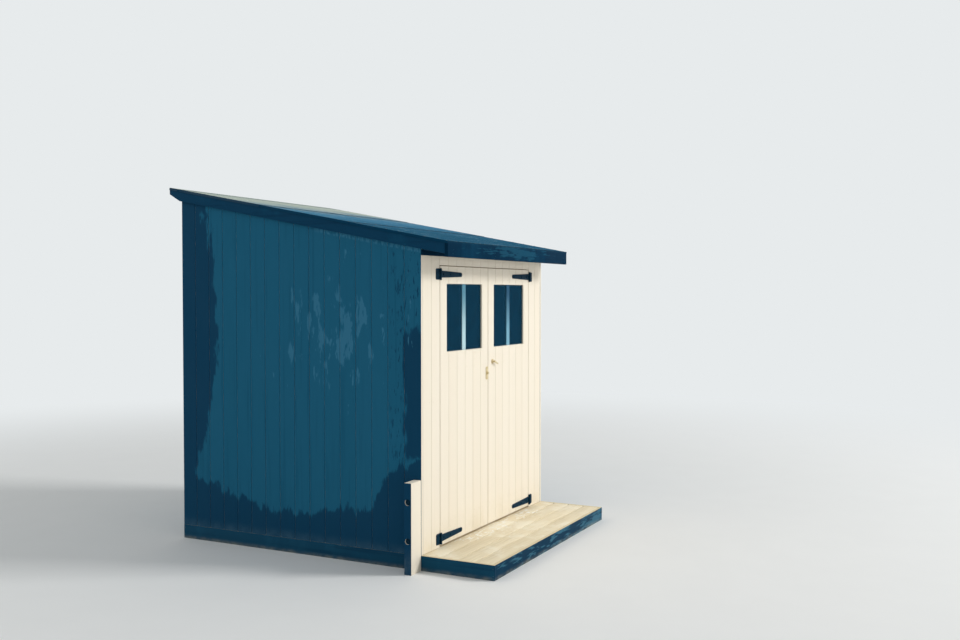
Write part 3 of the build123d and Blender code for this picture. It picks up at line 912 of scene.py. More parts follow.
# where grain turns: side rails reach this far in from the walls, and braces lie between two of the ledges
railReach, bottomLedge, underPanes = 0.075, 0.095, 0.1335
railWood = woodMaterial("railWood", {**bareLook, "turned": (0, wallHigh.x - railReach, 2.0, 'Z_AXIS', 90)})
braceHeights = ledgeLow.z + bottomLedge, openLow.z - underPanes
rightLedgeWood = woodMaterial("rightLedgeWood", {**bareLook, "turned": (2, *braceHeights, 'Y_AXIS', 120)})
leftLedgeWood = woodMaterial("leftLedgeWood", {**bareLook, "turned": (2, *braceHeights, 'Y_AXIS', 60)})
uprightWood = woodMaterial("uprightWood", {**bareLook, "long": 2})
bearerWood = woodMaterial("bearerWood", {**bareLook, "long": 1, "dustMix": 0.7})
rafterPaint = woodMaterial("rafterPaint", {**bareLook, "long": 1, "outside": paintedOutside})
roofWood = woodMaterial("roofWood", {**bareLook, "outside": paintedOutside})


metalWear = {
    "wornAndSheen": (0.35, 0.65), "spotScale": 2.7, "spotted": (0.60, 0.68), "even": (0.3, 0.7),
    "smoother": 0.08, "rougher": 0.14, "relief": 0.35, "depth": 0.0005,
}


def metalMaterial(name, look):
    # old metal: a coat that has worn, spots of rust or tarnish
    material, shader, place = newMaterial(name)
    wearAndShading = metalWear
    cloud = noise(place, look["scale"], detail=6, roughness=0.7)
    colour = mixed(fade(cloud, *wearAndShading["wornAndSheen"]), look["base"], look["light"])
    freckles = noise(place, look["scale"] * wearAndShading["spotScale"], detail=4)
    colour = mixed(fade(freckles, *wearAndShading["spotted"], 0, look["spotMix"]), colour, look["spots"])
    rough = fade(cloud, *wearAndShading["even"], look["rough"] - wearAndShading["smoother"], look["rough"] + wearAndShading["rougher"])
    setSurface(shader, colour, rough, look["specular"], cloud, wearAndShading["relief"], wearAndShading["depth"])
    fill(shader["Metallic"], look["metallic"])
    return material


hingeIron = metalMaterial("hingeIron", {
    "scale": 70, "base": (0.0008, 0.0190, 0.0400), "light": (0.0030, 0.0290, 0.0560),
    "spots": (0.05, 0.030, 0.018), "spotMix": 0.35, "rough": 0.55, "metallic": 0.0, "specular": 0.06,
})
cloutIron = metalMaterial("cloutIron", {
    "scale": 90, "base": (0.10, 0.13, 0.15), "light": (0.22, 0.26, 0.27),
    "spots": (0.13, 0.06, 0.025), "spotMix": 0.7, "rough": 0.5, "metallic": 0.4, "specular": 0.4,
})
dullBrass = metalMaterial("dullBrass", {
    "scale": 60, "base": (0.62, 0.49, 0.27), "light": (0.74, 0.63, 0.40),
    "spots": (0.34, 0.36, 0.24), "spotMix": 0.6, "rough": 0.42, "metallic": 0.35, "specular": 0.4,
})
keyholeDark = metalMaterial("keyholeDark", {
    "scale": 60, "base": (0.003, 0.003, 0.003), "light": (0.008, 0.007, 0.006),
    "spots": (0.02, 0.01, 0.006), "spotMix": 0.3, "rough": 0.7, "metallic": 0.0, "specular": 0.1,
})


paneLook = {
    "seenThrough": (0.30, 0.42, 0.47, 1), "mirrored": (0.20, 0.40, 0.55, 1), "ior": 1.45, "shine": 0.22,
    "saltScale": 14.0, "salted": (0.35, 0.7), "blur": (0.05, 0.22),
    "hazed": (0.35, 0.75), "haze": (0.08, 0.115),
    "saltColour": (0.010, 0.20, 0.40, 1), "saltSpecular": 0.1, "saltRough": 0.9,
}


def glassMaterial():
    # old panes: clear but dark from a room without light, with a haze of salt in patches
    material, shader, place = newMaterial("saltyGlass")
    look = paneLook
    salt = noise(place, look["saltScale"], detail=6, roughness=0.7)
    blur = fade(salt, *look["salted"], *look["blur"])
    gloss = field(place, "ShaderNodeBsdfGlossy", Color=look["mirrored"], Roughness=blur)
    clear = field(place, "ShaderNodeBsdfTransparent", Color=look["seenThrough"])
    shine = field(place, "ShaderNodeFresnel", IOR=look["ior"]) * look["shine"]
    pane = field(place, "ShaderNodeMixShader", Fac=shine, i1=clear, i2=gloss)
    fill(shader["Base Color"], look["saltColour"])
    fill(shader["Specular IOR Level"], look["saltSpecular"])
    fill(shader["Roughness"], look["saltRough"])
    haze = fade(salt, *look["hazed"], *look["haze"])
    mixSurface(material, haze, pane, ownShader(material))
    return material


saltyGlass = glassMaterial()
print("finishes are ready")


# walls of upright boards with V joints; each has two nails at the sole rail, the middle rail and the top
wallBoards = {
    "nailFromEdge": 0.022, "soleNails": 0.024, "middleNails": 0.908, "topNails": 0.052,
    "overDoorNails": 0.02,
}


def boardedWall(name, low, high, across, outer, row, depth, topNails=None):
    # topNails is the height of the upper nails, where they don't follow the roof
    through, count = 1 - across, boardCounts[row]
    boards = boardRow(name, low, high, across, through, outer, count)
    cutToRoof(boards, depth)
    topNails = topNails or roofZ(low.y, depth) - wallBoards["topNails"]
    pitch = (high[across] - low[across]) / count
    climb = pitch * roofSlope if across == 1 else 0
    inset = wallBoards["nailFromEdge"]
    face = high[through] if outer > 0 else low[through]
    sole, middle = low.z + wallBoards["soleNails"], low.z + wallBoards["middleNails"]
    pieces = [boards]
    for height, rise in ((sole, 0), (middle, 0), (topNails, climb)):
        start = onAxis(across, low[across] + inset) + onAxis(through, face) + onAxis(2, height)
        pair = onAxis(across, pitch - 2 * inset)
        step = onAxis(across, pitch) + onAxis(2, rise)
        pieces.append(headRows("wallNail", start, onAxis(through, outer), (pair, 2), (step, count)))
    return joinPieces(name, pieces)


def makeSideAndBackWalls():
    left = boardedWall("leftWallBoards", *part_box("left_wall"), 1, -1, "side", roofDepths["boards"])
    finishPair(left, "hut", "side_paint", (sidePaint, rightPaint), "left_wall")
    back = boardedWall("backWallBoards", *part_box("back_wall"), 0, 1, "back", roofDepths["rafters"])
    finishPiece(back, "hut", "side_paint", backPaint, "back_wall")


def makeFrontWall():
    # a strip of full height on each side of the doorway, and short boards over it
    low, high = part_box("front_wall_right")
    overLow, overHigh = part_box("front_wall_top")
    high.z = overHigh.z
    depth = roofDepths["rafters"]
    topNails = overLow.z + wallBoards["overDoorNails"]
    right = boardedWall("rightFrontBoards", low, high, 0, -1, "strip", depth, topNails)
    finishPair(right, "hut", "front_paint", [frontPaint], "front_wall_right")
    overLow.x, overHigh.x = -low.x, low.x
    over = boardRow("overDoorBoards", overLow, overHigh, 0, 1, -1, boardCounts["overDoor"])
    cutToRoof(over, depth)
    finishPiece(over, "hut", "front_paint", frontPaint, "front_wall_top")


# thin board across the top of the front
friezeBoard = {"ease": 0.0025, "nails": 8, "nailFromEnd": 0.04, "nailRise": 0.03}


def makeFrieze():
    low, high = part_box("front_frieze")
    board = addBlock("friezeBoard", low, high)
    cutToRoof(board, roofDepths["rafters"])
    easeEdges(board, friezeBoard["ease"], segments=2)
    gap = (high.x - low.x - 2 * friezeBoard["nailFromEnd"]) / (friezeBoard["nails"] - 1)
    start = (low.x + friezeBoard["nailFromEnd"], low.y, low.z + friezeBoard["nailRise"])
    nails = headRows("friezeNail", start, (0, -1, 0), ((gap, 0, 0), friezeBoard["nails"]))
    finishPiece(joinPieces("friezeBoard", [board, nails]), "hut", "trim_paint", fasciaPaint, "front_frieze")


# raft: rims with nails in the ends of the side ones, and planks with a pair of nails over each bearer
raftWood = {
    "rimEase": 0.003, "rimNailFromEnd": 0.011, "rimNailRise": 0.025, "rimNailGap": 0.042,
    "plankEase": 0.0035, "nailFromEdge": 0.02, "nailSunk": 0.0004,
    "bearerStep": 0.45, "outerBearer": 0.855, "innerBearers": 3,
}


def makeRim(side):
    node = "base_rim_" + side
    low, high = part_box(node)
    rim = addBlock(side + "Rim", low, high)
    easeEdges(rim, raftWood["rimEase"], segments=2)
    if side in ("left", "right"):
        outer = 1 if side == "right" else -1
        fromEnd = raftWood["rimNailFromEnd"]
        start = (high.x if outer > 0 else low.x, low.y + fromEnd, low.z + raftWood["rimNailRise"])
        pair = ((0, 0, raftWood["rimNailGap"]), 2)
        ends = ((0, high.y - low.y - 2 * fromEnd, 0), 2)
        rim = joinPieces(rim.name, [rim, headRows("raftNail", start, (outer, 0, 0), pair, ends)])
    finishPiece(rim, "hut", "trim_paint", rimPaint, node)


def makePlanks(deck, wood):
    node, name = deck + "_deck", deck + "Planks"
    low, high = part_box(node)
    pitch = plankPitch(deck)
    width = pitch - plankGaps[deck]
    plank = addBlock(name, low, (high.x, low.y + width, high.z))
    easeEdges(plank, raftWood["plankEase"], segments=2)
    edge, outerX, step = raftWood["nailFromEdge"], raftWood["outerBearer"], raftWood["bearerStep"]
    start = (-outerX, low.y + edge, high.z - raftWood["nailSunk"])
    nails = headRows("raftNail", start, (0, 0, 1), ((0, width - 2 * edge, 0), 2))
    outer = copyMoved(nails, "outerNails", (2 * outerX, 0, 0))
    inner = copyMoved(nails, "innerNails", (outerX - step, 0, 0))
    repeatAlong(inner, (step, 0, 0), raftWood["innerBearers"])
    row = joinPieces(name, [plank, nails, outer, inner])
    repeatAlong(row, (0, pitch, 0), boardCounts[deck])
    finishPiece(row, "hut", "deck_wood", wood, node)


def makeRaft():
    for side in ("left", "right", "front", "back"):
        makeRim(side)
    makePlanks("apron", deckWood)
    makePlanks("floor", floorWood)


# flat-topped post bolted to the front left corner, its bolts sunk in round holes
anchorPost = {"ease": 0.004, "holeDepth": 0.011, "boltHeights": (0.20, 0.43)}


def makePost():
    low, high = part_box("anchor_post")
    post = addBlock("anchorPost", low, high)
    easeEdges(post, anchorPost["ease"], lambda a, b: max(a.z, b.z) > low.z + closeBy, segments=3)
    fittings = []
    for height in anchorPost["boltHeights"]:
        place = (low.x + anchorPost["holeDepth"], (low.y + high.y) / 2, height)
        hole = addHead("postHole", place, (-1, 0, 0))
        subtractShape(post, hole)
        deletePiece(hole)
        fittings += [addHead(kind, place, (-1, 0, 0)) for kind in ("postWasher", "postBolt")]
    finishPiece(post, "hut", "trim_paint", postPaint, "anchor_post")
    finishPiece(joinPieces("postBolts", fittings), "hut", "iron", hingeIron)


# roof, laid on the slope
roofParts = {
    "spare": 0.03, "boardChamfer": 0.003, "rafterWidth": 0.045, "rafterEase": 0.0015,
    "innerRafters": 0.286, "tail": 0.044, "bargeFoot": 0.079, "edgeEase": 0.0025,
    "bargeNails": 7, "bargeNailStep": 0.33, "bargeNailStart": 0.06, "bargeNailDepth": 0.03,
    "fasciaNailsAt": (0.8575, 0.286), "fasciaNailRise": 0.018, "fasciaNailGap": 0.022, "nailRoom": 0.0016,
}


def layOnRoof(piece, depth):
    # a piece made flat, with y along the slope from the eaves and its top at z = 0
    piece.rotation_euler = (roofAngle, 0, 0)
    piece.location = (0, eavesY, roofZ(eavesY, depth))
    applyPlace(piece)


def cutEnds(piece, low, high):
    # upright ends
    cutAway(piece, (0, low.y, 0), (0, -1, 0))
    cutAway(piece, (0, high.y, 0), (0, 1, 0))


def flatCorners(low, high, thickness):
    # of a piece before it is laid on the roof and its ends are cut upright
    spare = roofParts["spare"]
    flatLow = Vector((low.x, alongSlope(low.y) - spare, -thickness))
    return flatLow, Vector((high.x, alongSlope(high.y) + spare, 0))


def slopedBlock(name, low, high, depth, foot):
    # a block that lies in the slope between two depths, with upright ends
    piece = addBlock(name, *flatCorners(low, high, foot - depth))
    layOnRoof(piece, depth)
    cutEnds(piece, low, high)
    return piece


def cutTail(piece, fromDepth, toY):
    # the lower edge runs up to the thin tail behind the back wall
    start = Vector((0, wallHigh.y, roofZ(wallHigh.y, fromDepth)))
    end = Vector((0, toY, roofZ(toY, roofDepths["felt"]) - roofParts["tail"]))
    run = end - start
    cutAway(piece, start, Vector((0, run.z, -run.y)))


def makeRafters():
    low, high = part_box("rafters")
    high.x = low.x + roofParts["rafterWidth"]
    rafter = slopedBlock("rafterRow", low, high, roofDepths["boards"], roofDepths["rafters"])
    cutTail(rafter, roofDepths["rafters"], high.y)
    easeEdges(rafter, roofParts["rafterEase"])
    firstX = low.x + roofParts["rafterWidth"] / 2
    places = (-roofParts["innerRafters"], roofParts["innerRafters"], -firstX)
    copies = [copyMoved(rafter, "rafter", (x - firstX, 0, 0)) for x in places]
    finishPiece(joinPieces("rafterRow", [rafter] + copies), "hut", "trim_paint", rafterPaint, "rafters")


def makeRoofBoards():
    low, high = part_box("roof_boards")
    flatLow, flatHigh = flatCorners(low, high, roofDepths["boards"] - roofDepths["felt"])
    count, chamfer = boardCounts["roof"], roofParts["boardChamfer"]
    boards = boardRow("roofBoards", flatLow, flatHigh, 1, 2, -1, count, chamfer)
    layOnRoof(boards, roofDepths["felt"])
    cutEnds(boards, low, high)
    finishPiece(boards, "hut", "frame_wood", roofWood, "roof_boards")


def makeBargeboards():
    low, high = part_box("right_bargeboard")
    barge = slopedBlock("bargeBoard", low, high, roofDepths["felt"], roofParts["bargeFoot"])
    cutTail(barge, roofParts["bargeFoot"], high.y)
    easeEdges(barge, roofParts["edgeEase"], segments=2)
    firstY = low.y + roofParts["bargeNailStart"]
    drop, step = roofParts["bargeNailDepth"], roofParts["bargeNailStep"]
    pair = ((0, 0, -drop), 2)
    row = ((0, step, step * roofSlope), roofParts["bargeNails"])
    nails = headRows("roofNail", (high.x, firstY, roofZ(firstY, drop)), (1, 0, 0), pair, row)
    right = joinPieces("rightBarge", [barge, nails])
    finishPair(right, "hut", "trim_paint", [trimPaint], "right_bargeboard")


def makeFascia(end, side):
    node = end + "_fascia"
    low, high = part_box(node)
    if side > 0:
        high.y -= roofParts["nailRoom"]
    pieces = [addBlock(end + "Fascia", low, high)]
    cutToRoof(pieces[0], roofDepths["felt"])
    easeEdges(pieces[0], roofParts["edgeEase"], segments=2)
    pair = ((0, 0, roofParts["fasciaNailGap"]), 2)
    for x in roofParts["fasciaNailsAt"]:
        start = (-x, high.y if side > 0 else low.y, low.z + roofParts["fasciaNailRise"])
        pieces.append(headRows("roofNail", start, (0, side, 0), pair, ((2 * x, 0, 0), 2)))
    finishPiece(joinPieces(end + "Fascia", pieces), "hut", "trim_paint", fasciaPaint, node)


# felt in lapped courses, turned down over the edges and held by clout nails
feltSheets = {
    "courses": 3, "lap": 0.075, "sheet": 0.0018, "spacing": 0.0002, "sunk": 0.0003, "endGap": 0.004,
    "halfWidth": 0.9256, "widerEach": 0.0004, "turnDown": 0.016, "columns": 48, "rows": 18,
    "unevenness": 0.0011, "smoothing": 0.5, "evenEdge": 0.05, "evenFrom": 0.9, "firstSeed": 5,
    "cloutStep": 0.062, "cloutEdge": 0.018, "topEdge": 0.02, "cloutDepth": 0.0006, "endDepth": 0.0028,
    "vergeStep": 0.09, "vergeStart": 0.08, "vergeEnds": 0.1, "vergeDepth": 0.0016,
}
feltLength = alongSlope(tailY) - feltSheets["endGap"]
feltStep = (feltLength - feltSheets["lap"]) / feltSheets["courses"]


# the felt's look; places are in metres, and a pair is where a mark starts to show and where it is whole
feltLook = {
    "gritScale": 620.0, "runs": (9, 1.3, 9), "speckles": (1.6, 0.7, 1.6), "speckleScale": 22.0,
    "grit": ((0.0, (0.003, 0.062, 0.125)), (0.5, (0.006, 0.092, 0.175)), (1.0, (0.034, 0.165, 0.265))),
    # painted sheen: paler in two steps towards the high side
    "midSheenAt": (-0.40, 0.45), "midSheenRuns": 0.8, "midSheen": (0.064, 0.235, 0.385),
    "paintedLightAt": (0.80, 1.55), "paintedLightRuns": 1.15, "paintedLightSpeckle": 0.55, "paintedLight": (0.57, 0.62, 0.52),
    "paintedSheenMix": 0.9, "spotted": (0.54, 0.64), "spotRuns": (0.45, 0.6), "leastSpots": 0.15, "spotMix": 0.7,
    "spots": (0.30, 0.47, 0.53), "waver": 0.012,
    "tarLow": (0.010, 0.004), "tarHigh": (0.012, 0.004), "tarMix": 0.85, "tar": (0.006, 0.020, 0.034),
    # the band under each lap: dirt and painted shade
    "dirtAndShadeAbove": (0.14, 0.01), "dirtAndShadeMix": 0.45, "dirtAndShade": (0.020, 0.085, 0.150),
    "edgeAt": (0.022, 0.025), "edgeMix": 0.95, "edge": (0.0022, 0.040, 0.090),
    "rough": 0.93, "specular": 0.04, "gritRelief": 0.6, "speckleRelief": 0.8, "bump": 0.6, "depth": 0.0012,
}


def feltMaterial():
    # grit of several shades, paler towards the high side as painted sheen, dark where a course laps the next
    material, shader, place = newMaterial("mineralFelt")
    look = feltLook
    x, y = axesOf(place)[:2]
    grit = axesOf(field(place, "ShaderNodeTexVoronoi", "Color", Vector=place, Scale=look["gritScale"]))[0]
    runs = noise(stretched(place, look["runs"]), 1.0, detail=6, roughness=0.68)
    speckle = noise(stretched(place, look["speckles"]), look["speckleScale"], detail=5, roughness=0.7)
    colour = ramped(grit, look["grit"])
    midSheen = fade(y + runs * look["midSheenRuns"], *look["midSheenAt"], 0.0, look["paintedSheenMix"])
    colour = mixed(midSheen, colour, look["midSheen"])
    uneven = runs * look["paintedLightRuns"] + speckle * look["paintedLightSpeckle"]
    paintedLight = fade(y + uneven, *look["paintedLightAt"], 0.0, look["paintedSheenMix"])
    colour = mixed(paintedLight, colour, look["paintedLight"])
    spots = fade(speckle, *look["spotted"], 0, look["spotMix"])
    colour = mixed(spots * fade(runs, *look["spotRuns"], look["leastSpots"], 1.0), colour, look["spots"])
    # tar at the laps, and below each lap a darker band of dirt and painted shade
    inCourse = alongSlope(y).calculate('MODULO', feltStep) + (runs - 0.5) * look["waver"]
    tarHigh = fade(inCourse, *[feltStep - under for under in look["tarHigh"]])
    colour = mixed(larger(fade(inCourse, *look["tarLow"]), tarHigh) * look["tarMix"], colour, look["tar"])
    dirtAndShade = fade(inCourse, *[feltStep - under for under in look["dirtAndShadeAbove"]], 0, look["dirtAndShadeMix"])
    colour = mixed(dirtAndShade, colour, look["dirtAndShade"])
    # the turned down edges are painted dark, painted shade
    edge = fade(abs(x), *[wallHigh.x + out for out in look["edgeAt"]])
    colour = mixed(edge * look["edgeMix"], colour, look["edge"])
    relief = grit * look["gritRelief"] + speckle * look["speckleRelief"]
    setSurface(shader, colour, look["rough"], look["specular"], relief, look["bump"], look["depth"])
    return material


def turnDown(sheet, test):
    selectPart(sheet, 'EDGE', test)
    pullOut(0, 0, -feltSheets["turnDown"])
    backToObject()


def makeCourse(course):
    # one sheet, uneven inside its edges; the lower edge of an upper one lies on the course below
    length = feltStep + feltSheets["lap"]
    bottom = course * feltStep
    bpy.ops.object.select_all(action='DESELECT')
    columns, rows = feltSheets["columns"], feltSheets["rows"]
    bpy.ops.mesh.primitive_grid_add(x_subdivisions=columns, y_subdivisions=rows, size=1)
    sheet = bpy.context.object
    sheet.name = "feltCourse"
    sheet.scale = (2 * (feltSheets["halfWidth"] + feltSheets["widerEach"] * course), length, 1)
    sheet.location = (0, bottom + length / 2, 0)
    applyPlace(sheet)
    lowEnd, highEnd = bottom + feltSheets["evenEdge"], bottom + length - feltSheets["evenEdge"]
    halfEven = feltSheets["evenFrom"]
    selectPart(sheet, 'VERT', lambda place: abs(place.x) < halfEven and lowEnd < place.y < highEnd)
    seed = course + feltSheets["firstSeed"]
    bpy.ops.transform.vertex_random(offset=feltSheets["unevenness"], uniform=0.0, normal=1.0, seed=seed)
    bpy.ops.mesh.vertices_smooth(factor=feltSheets["smoothing"], repeat=1)
    backToObject()
    lift = feltSheets["sheet"] + feltSheets["spacing"]
    rise = lift if course else 0
    sheet.rotation_euler = (-math.atan2(rise, length), 0, 0)
    height = roofDepths["felt"] - lift - feltSheets["sunk"] + rise + bottom * rise / length
    sheet.location = (0, 0, height)
    applyPlace(sheet)

    def isVerge(a, b):
        return min(abs(a.x), abs(b.x)) > feltSheets["halfWidth"] - closeBy and abs(a.x - b.x) < closeBy

    def isEaves(a, b):
        return max(a.y, b.y) < closeBy and abs(a.z - b.z) < closeBy

    turnDown(sheet, isVerge)
    if course == 0:
        turnDown(sheet, isEaves)
    thick = sheet.modifiers.new("thick", 'SOLIDIFY')
    thick.thickness = feltSheets["sheet"]
    thick.offset = -1
    applyModifier(sheet, thick)
    return sheet


def makeClouts():
    # a row along the lower edge of each course, one down each verge, and one along the top
    high = roofDepths["felt"]
    width = 2 * (feltSheets["halfWidth"] - feltSheets["cloutEdge"])
    count = int(width / feltSheets["cloutStep"]) + 1
    level = ((width / (count - 1), 0, 0), count)
    rows = []
    for course in range(feltSheets["courses"]):
        depth = feltSheets["cloutDepth" if course else "endDepth"]
        start = (-width / 2, course * feltStep + feltSheets["cloutEdge"], high - depth)
        rows.append(headRows("clout", start, (0, 0, 1), level))
    vergeCount = int((feltLength - feltSheets["vergeEnds"]) / feltSheets["vergeStep"])
    down = ((0, feltSheets["vergeStep"], 0), vergeCount)
    start = (-width / 2, feltSheets["vergeStart"], high - feltSheets["vergeDepth"])
    rows.append(headRows("clout", start, (0, 0, 1), down, ((width, 0, 0), 2)))
    start = (-width / 2, feltLength - feltSheets["topEdge"], high - feltSheets["endDepth"])
    rows.append(headRows("clout", start, (0, 0, 1), level))
    return joinPieces("feltClouts", rows)


def makeFelt():
    felt = joinPieces("feltSheets", [makeCourse(course) for course in range(feltSheets["courses"])])
    clouts = makeClouts()
    for piece in (felt, clouts):
        layOnRoof(piece, roofDepths["felt"])
    finishPiece(felt, "hut", "roof_felt", feltMaterial(), "roof_felt")
    finishPiece(clouts, "hut", "iron", cloutIron)


# doors: six jointed boards each, one opening with a bar set back in it, and fixings into the three ledges
doorParts = {
    "paneWidth": 0.218, "lap": 0.011, "flare": 0.003, "spare": 0.02, "barSetback": 0.008, "barEase": 0.0024,
    "nailFromEdge": 0.024, "nails": ((0.025, 0.070), (-0.108, -0.064), (-0.055, -0.022)),
    "screws": (0.0475, -0.086, -0.039),
}
ledgeHeights = (ledgeLow.z, openLow.z, ledgeHigh.z)


def makeCutters():
    # the opening, a little wider at the face where its edges are worn round, and the seat of the glass
    flare, behind = doorParts["flare"], leafHigh.y + doorParts["spare"]
    inside = (openLow.x, leafLow.y + flare, openLow.z)
    opening = addBlock("opening", inside, (openHigh.x, behind, openHigh.z))
    selectPart(opening, 'FACE', lambda middle, normal: normal.y < -most)
    pullOut(0, -2 * flare, 0)
    width, tall = openHigh.x - openLow.x, openHigh.z - openLow.z
    bpy.ops.transform.resize(value=((width + 4 * flare) / width, 1, (tall + 4 * flare) / tall))
    backToObject()
    return opening, addBlock("seat", glassLow, (glassHigh.x, behind, glassHigh.z))


def makeLeafBoards():
    cutters = makeCutters()
    firstHigh = (leafLow.x + leafPitch, leafHigh.y, leafHigh.z)
    boards = [jointedBoard("leafBoard", leafLow, firstHigh, 0, 1, -1, boardEdges["chamfer"])]
    for number in range(1, boardCounts["leaf"]):
        boards.append(copyMoved(boards[0], "leafBoard", (leafPitch * number, 0, 0)))
    for board in boards:
        for cutter in cutters:
            subtractShape(board, cutter)
    cutAway(boards[-1], leafHigh, (1, 0, 0))
    for cutter in cutters:
        deletePiece(cutter)
    return boards


def makeBar():
    # between the panes: a face set back from the boards, with a narrower web between the two rebates
    middle = (openLow.x + openHigh.x) / 2
    half = (openHigh.x - openLow.x) / 2 - doorParts["paneWidth"]
    front, back = leafLow.y + doorParts["barSetback"], leafLow.y + doorParts["lap"]
    bar = addBlock("rightBar", (middle - half, front, openLow.z), (middle + half, back, openHigh.z))
    selectPart(bar, 'FACE', lambda place, normal: normal.y > most)
    bpy.ops.mesh.inset(thickness=rebate)
    pullOut(0, leafHigh.y - back, 0)
    backToObject()

    def isFront(a, b):
        return max(a.y, b.y) < front + hairline and abs(a.z - b.z) > most * (openHigh.z - openLow.z)

    easeEdges(bar, doorParts["barEase"], isFront)
    return bar


def makeLeaves():
    pieces = makeLeafBoards()
    bar = makeBar()
    inset = doorParts["nailFromEdge"]
    pair, row = ((leafPitch - 2 * inset, 0, 0), 2), ((leafPitch, 0, 0), boardCounts["leaf"])
    for ledge, offsets in zip(ledgeHeights, doorParts["nails"]):
        for offset in offsets:
            start = (leafLow.x + inset, leafLow.y, ledge + offset)
            pieces.append(headRows("leafNail", start, (0, -1, 0), pair, row))
    right = joinPieces("rightLeafBoards", pieces)
    finishPair(right, "right_door", "front_paint", (rightDoorPaint, leftDoorPaint), "right_door_leaf")
    finishPair(bar, "right_door", "front_paint", (rightBarPaint, leftBarPaint))


# bolts and screws of the hinges, and the pins' round ends
hingeFittings = {
    "halfHeight": 0.034, "axisFromPost": 0.045, "axisFromPlate": 0.007, "iron": 0.004,
    "strapBolts": (0.045, 0.135, 0.262),
    "plateScrews": ((0.020, -0.024), (0.020, 0.024), (0.038, -0.012), (0.038, 0.012)),
}


def makeHingeFittings():
    plateLow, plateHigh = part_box("right_hinge_plates")
    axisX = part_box("door_posts")[1].x - hingeFittings["axisFromPost"]
    axisY = plateLow.y + hingeFittings["axisFromPlate"]
    face = leafLow.y - hingeFittings["iron"]
    halfHeight = hingeFittings["halfHeight"]
    bolts, screws, ends = [], [], []
    for middle in (plateLow.z + halfHeight, plateHigh.z - halfHeight):
        for x in hingeFittings["strapBolts"]:
            bolts.append(addHead("strapBolt", (axisX - x, face, middle), (0, -1, 0)))
        for x, z in hingeFittings["plateScrews"]:
            screws.append(addHead("plateScrew", (axisX + x, face, middle + z), (0, -1, 0)))
        for side in (-1, 1):
            ends.append(addHead("pinEnd", (axisX, axisY, middle + side * halfHeight), (0, 0, side)))
    finishPair(joinPieces("rightStrapBolts", bolts), "right_door", "iron", [hingeIron])
    finishPair(joinPieces("rightPlateScrews", screws + ends), "hut", "iron", [hingeIron])


# lever on the right leaf: a rose with a raised ring, a neck, and a bar that droops and thins to its end
leverParts = {
    "roseRadius": 0.016, "rose": 0.004, "ring": 0.003, "hollow": 0.0008, "collar": 0.003,
    "shoulder": 0.0015, "neckRadius": 0.0062, "intoBar": 0.001, "roseEase": 0.0008,
    "barWidth": 0.014, "barThick": 0.008, "length": 0.060, "narrowing": 0.78, "thinning": 0.72,
    "barEase": 0.0034, "droop": 20, "corners": 32,
}


def makeRose(reach):
    # the ring, a hollow and the neck come out of the rose's front face
    parts = leverParts
    radius, thickness = parts["roseRadius"], parts["rose"]

    def isFront(a, b):
        return max(abs(a.z - thickness), abs(b.z - thickness)) < hairline

    bpy.ops.object.select_all(action='DESELECT')
    size = {"vertices": parts["corners"], "radius": radius, "depth": thickness}
    bpy.ops.mesh.primitive_cylinder_add(location=(0, 0, thickness / 2), **size)
    rose = bpy.context.object
    applyPlace(rose)
    selectPart(rose, 'FACE', lambda middle, normal: normal.z > most)
    bpy.ops.mesh.inset(thickness=parts["ring"])
    pullOut(0, 0, -parts["hollow"])
    bpy.ops.mesh.inset(thickness=radius - parts["ring"] - parts["neckRadius"] - parts["shoulder"])
    pullOut(0, 0, parts["collar"])
    bpy.ops.mesh.inset(thickness=parts["shoulder"])
    pullOut(0, 0, reach - thickness + parts["intoBar"])
    backToObject()
    easeEdges(rose, parts["roseEase"], isFront, segments=2)
    return rose


def makeLever():
    low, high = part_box("door_lever")
    radius, half, thick = leverParts["roseRadius"], leverParts["barWidth"] / 2, leverParts["barThick"]
    reach = leafLow.y - low.y - thick
    rose = makeRose(reach)
    bar = addBlock("leverBar", (-half, -half, reach), (leverParts["length"] - half, half, reach + thick))
    selectPart(bar, 'FACE', lambda middle, normal: normal.x > most)
    bpy.ops.transform.resize(value=(1, leverParts["narrowing"], leverParts["thinning"]))
    backToObject()
    easeEdges(bar, leverParts["barEase"], segments=4)
    bar.rotation_euler = (0, 0, -math.radians(leverParts["droop"]))
    applyPlace(bar)
    lever = joinPieces("leverHandle", [rose, bar])
    lever.rotation_euler = (math.radians(90), 0, 0)
    lever.location = (low.x + radius, leafLow.y, high.z - radius)
    applyPlace(lever)
    finishPiece(lever, "right_door", "brass", dullBrass, "door_lever")


# the lock's screws and keyhole on the left leaf
lockParts = {
    "screwHeight": 0.034, "holeRise": 0.002, "slotHalf": 0.0009, "slotDepth": 0.0006, "slotDrop": 0.0055,
    "slotEase": 0.0003, "iron": 0.004,
}


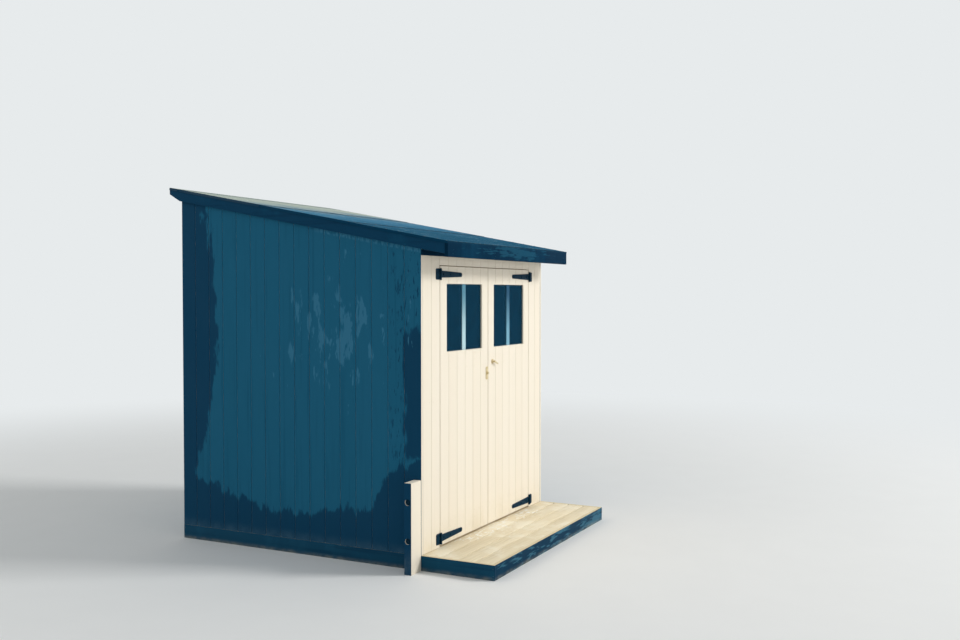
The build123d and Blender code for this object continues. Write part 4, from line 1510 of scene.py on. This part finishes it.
def makeLock():
    low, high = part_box("lock_plate")
    x, z = (low.x + high.x) / 2, (low.z + high.z) / 2
    face = leafLow.y - lockParts["iron"]
    places = [(x, face, z + side * lockParts["screwHeight"]) for side in (-1, 1)]
    screws = [addHead("lockScrew", place, (0, -1, 0)) for place in places]
    finishPiece(joinPieces("lockScrews", screws), "left_door", "brass", dullBrass)
    half, top = lockParts["slotHalf"], z + lockParts["holeRise"]
    hole = addHead("keyhole", (x, low.y, top), (0, -1, 0))
    slotLow = (x - half, low.y - lockParts["slotDepth"], z - lockParts["slotDrop"])
    slot = addBlock("keySlot", slotLow, (x + half, low.y, top))
    easeEdges(slot, lockParts["slotEase"])
    finishPiece(joinPieces("keyhole", [hole, slot]), "left_door", "iron", keyholeDark)


def makeLedgeScrews():
    # seen with the doors open
    screws = []
    for ledge, offset in zip(ledgeHeights, doorParts["screws"]):
        start = (leafLow.x + leafPitch / 2, ledgeHigh.y, ledge + offset)
        screws.append(headRows("ledgeScrew", start, (0, 1, 0), ((leafPitch, 0, 0), boardCounts["leaf"])))
    finishPair(joinPieces("rightLedgeScrews", screws), "right_door", "iron", [cloutIron])


makeSideAndBackWalls()
makeFrontWall()
makeFrieze()
print("walls are up")
makeRaft()
makePost()
print("raft and post are laid")
makeRafters()
makeRoofBoards()
makeBargeboards()
makeFascia("front", -1)
makeFascia("back", 1)
makeFelt()
print("roof is on")
makeLeaves()
makeHingeFittings()
makeLever()
makeLock()
makeLedgeScrews()
print("doors are hung")


# what stays as the frame has it gets its finish here
keptFinishes = (
    (bearerWood, "base_bearers"), (uprightWood, "corner_posts", "door_posts", "door_stops"),
    (acrossWood, "front_plate", "back_plate", "threshold"), (railWood, "wall_rails"),
    (roofWood, "eaves_blocks"), (leftLedgeWood, "left_door_ledges"), (rightLedgeWood, "right_door_ledges"),
    (hingeIron, "left_hinge_plates", "right_hinge_plates", "left_door_straps", "right_door_straps"),
    (saltyGlass, "left_door_glass", "right_door_glass"), (leftDoorPaint, "left_door_beads"),
    (rightDoorPaint, "right_door_beads"), (dullBrass, "lock_plate"),
)
for finish, *names in keptFinishes:
    for name in names:
        setFinish(nodes[name], finish)
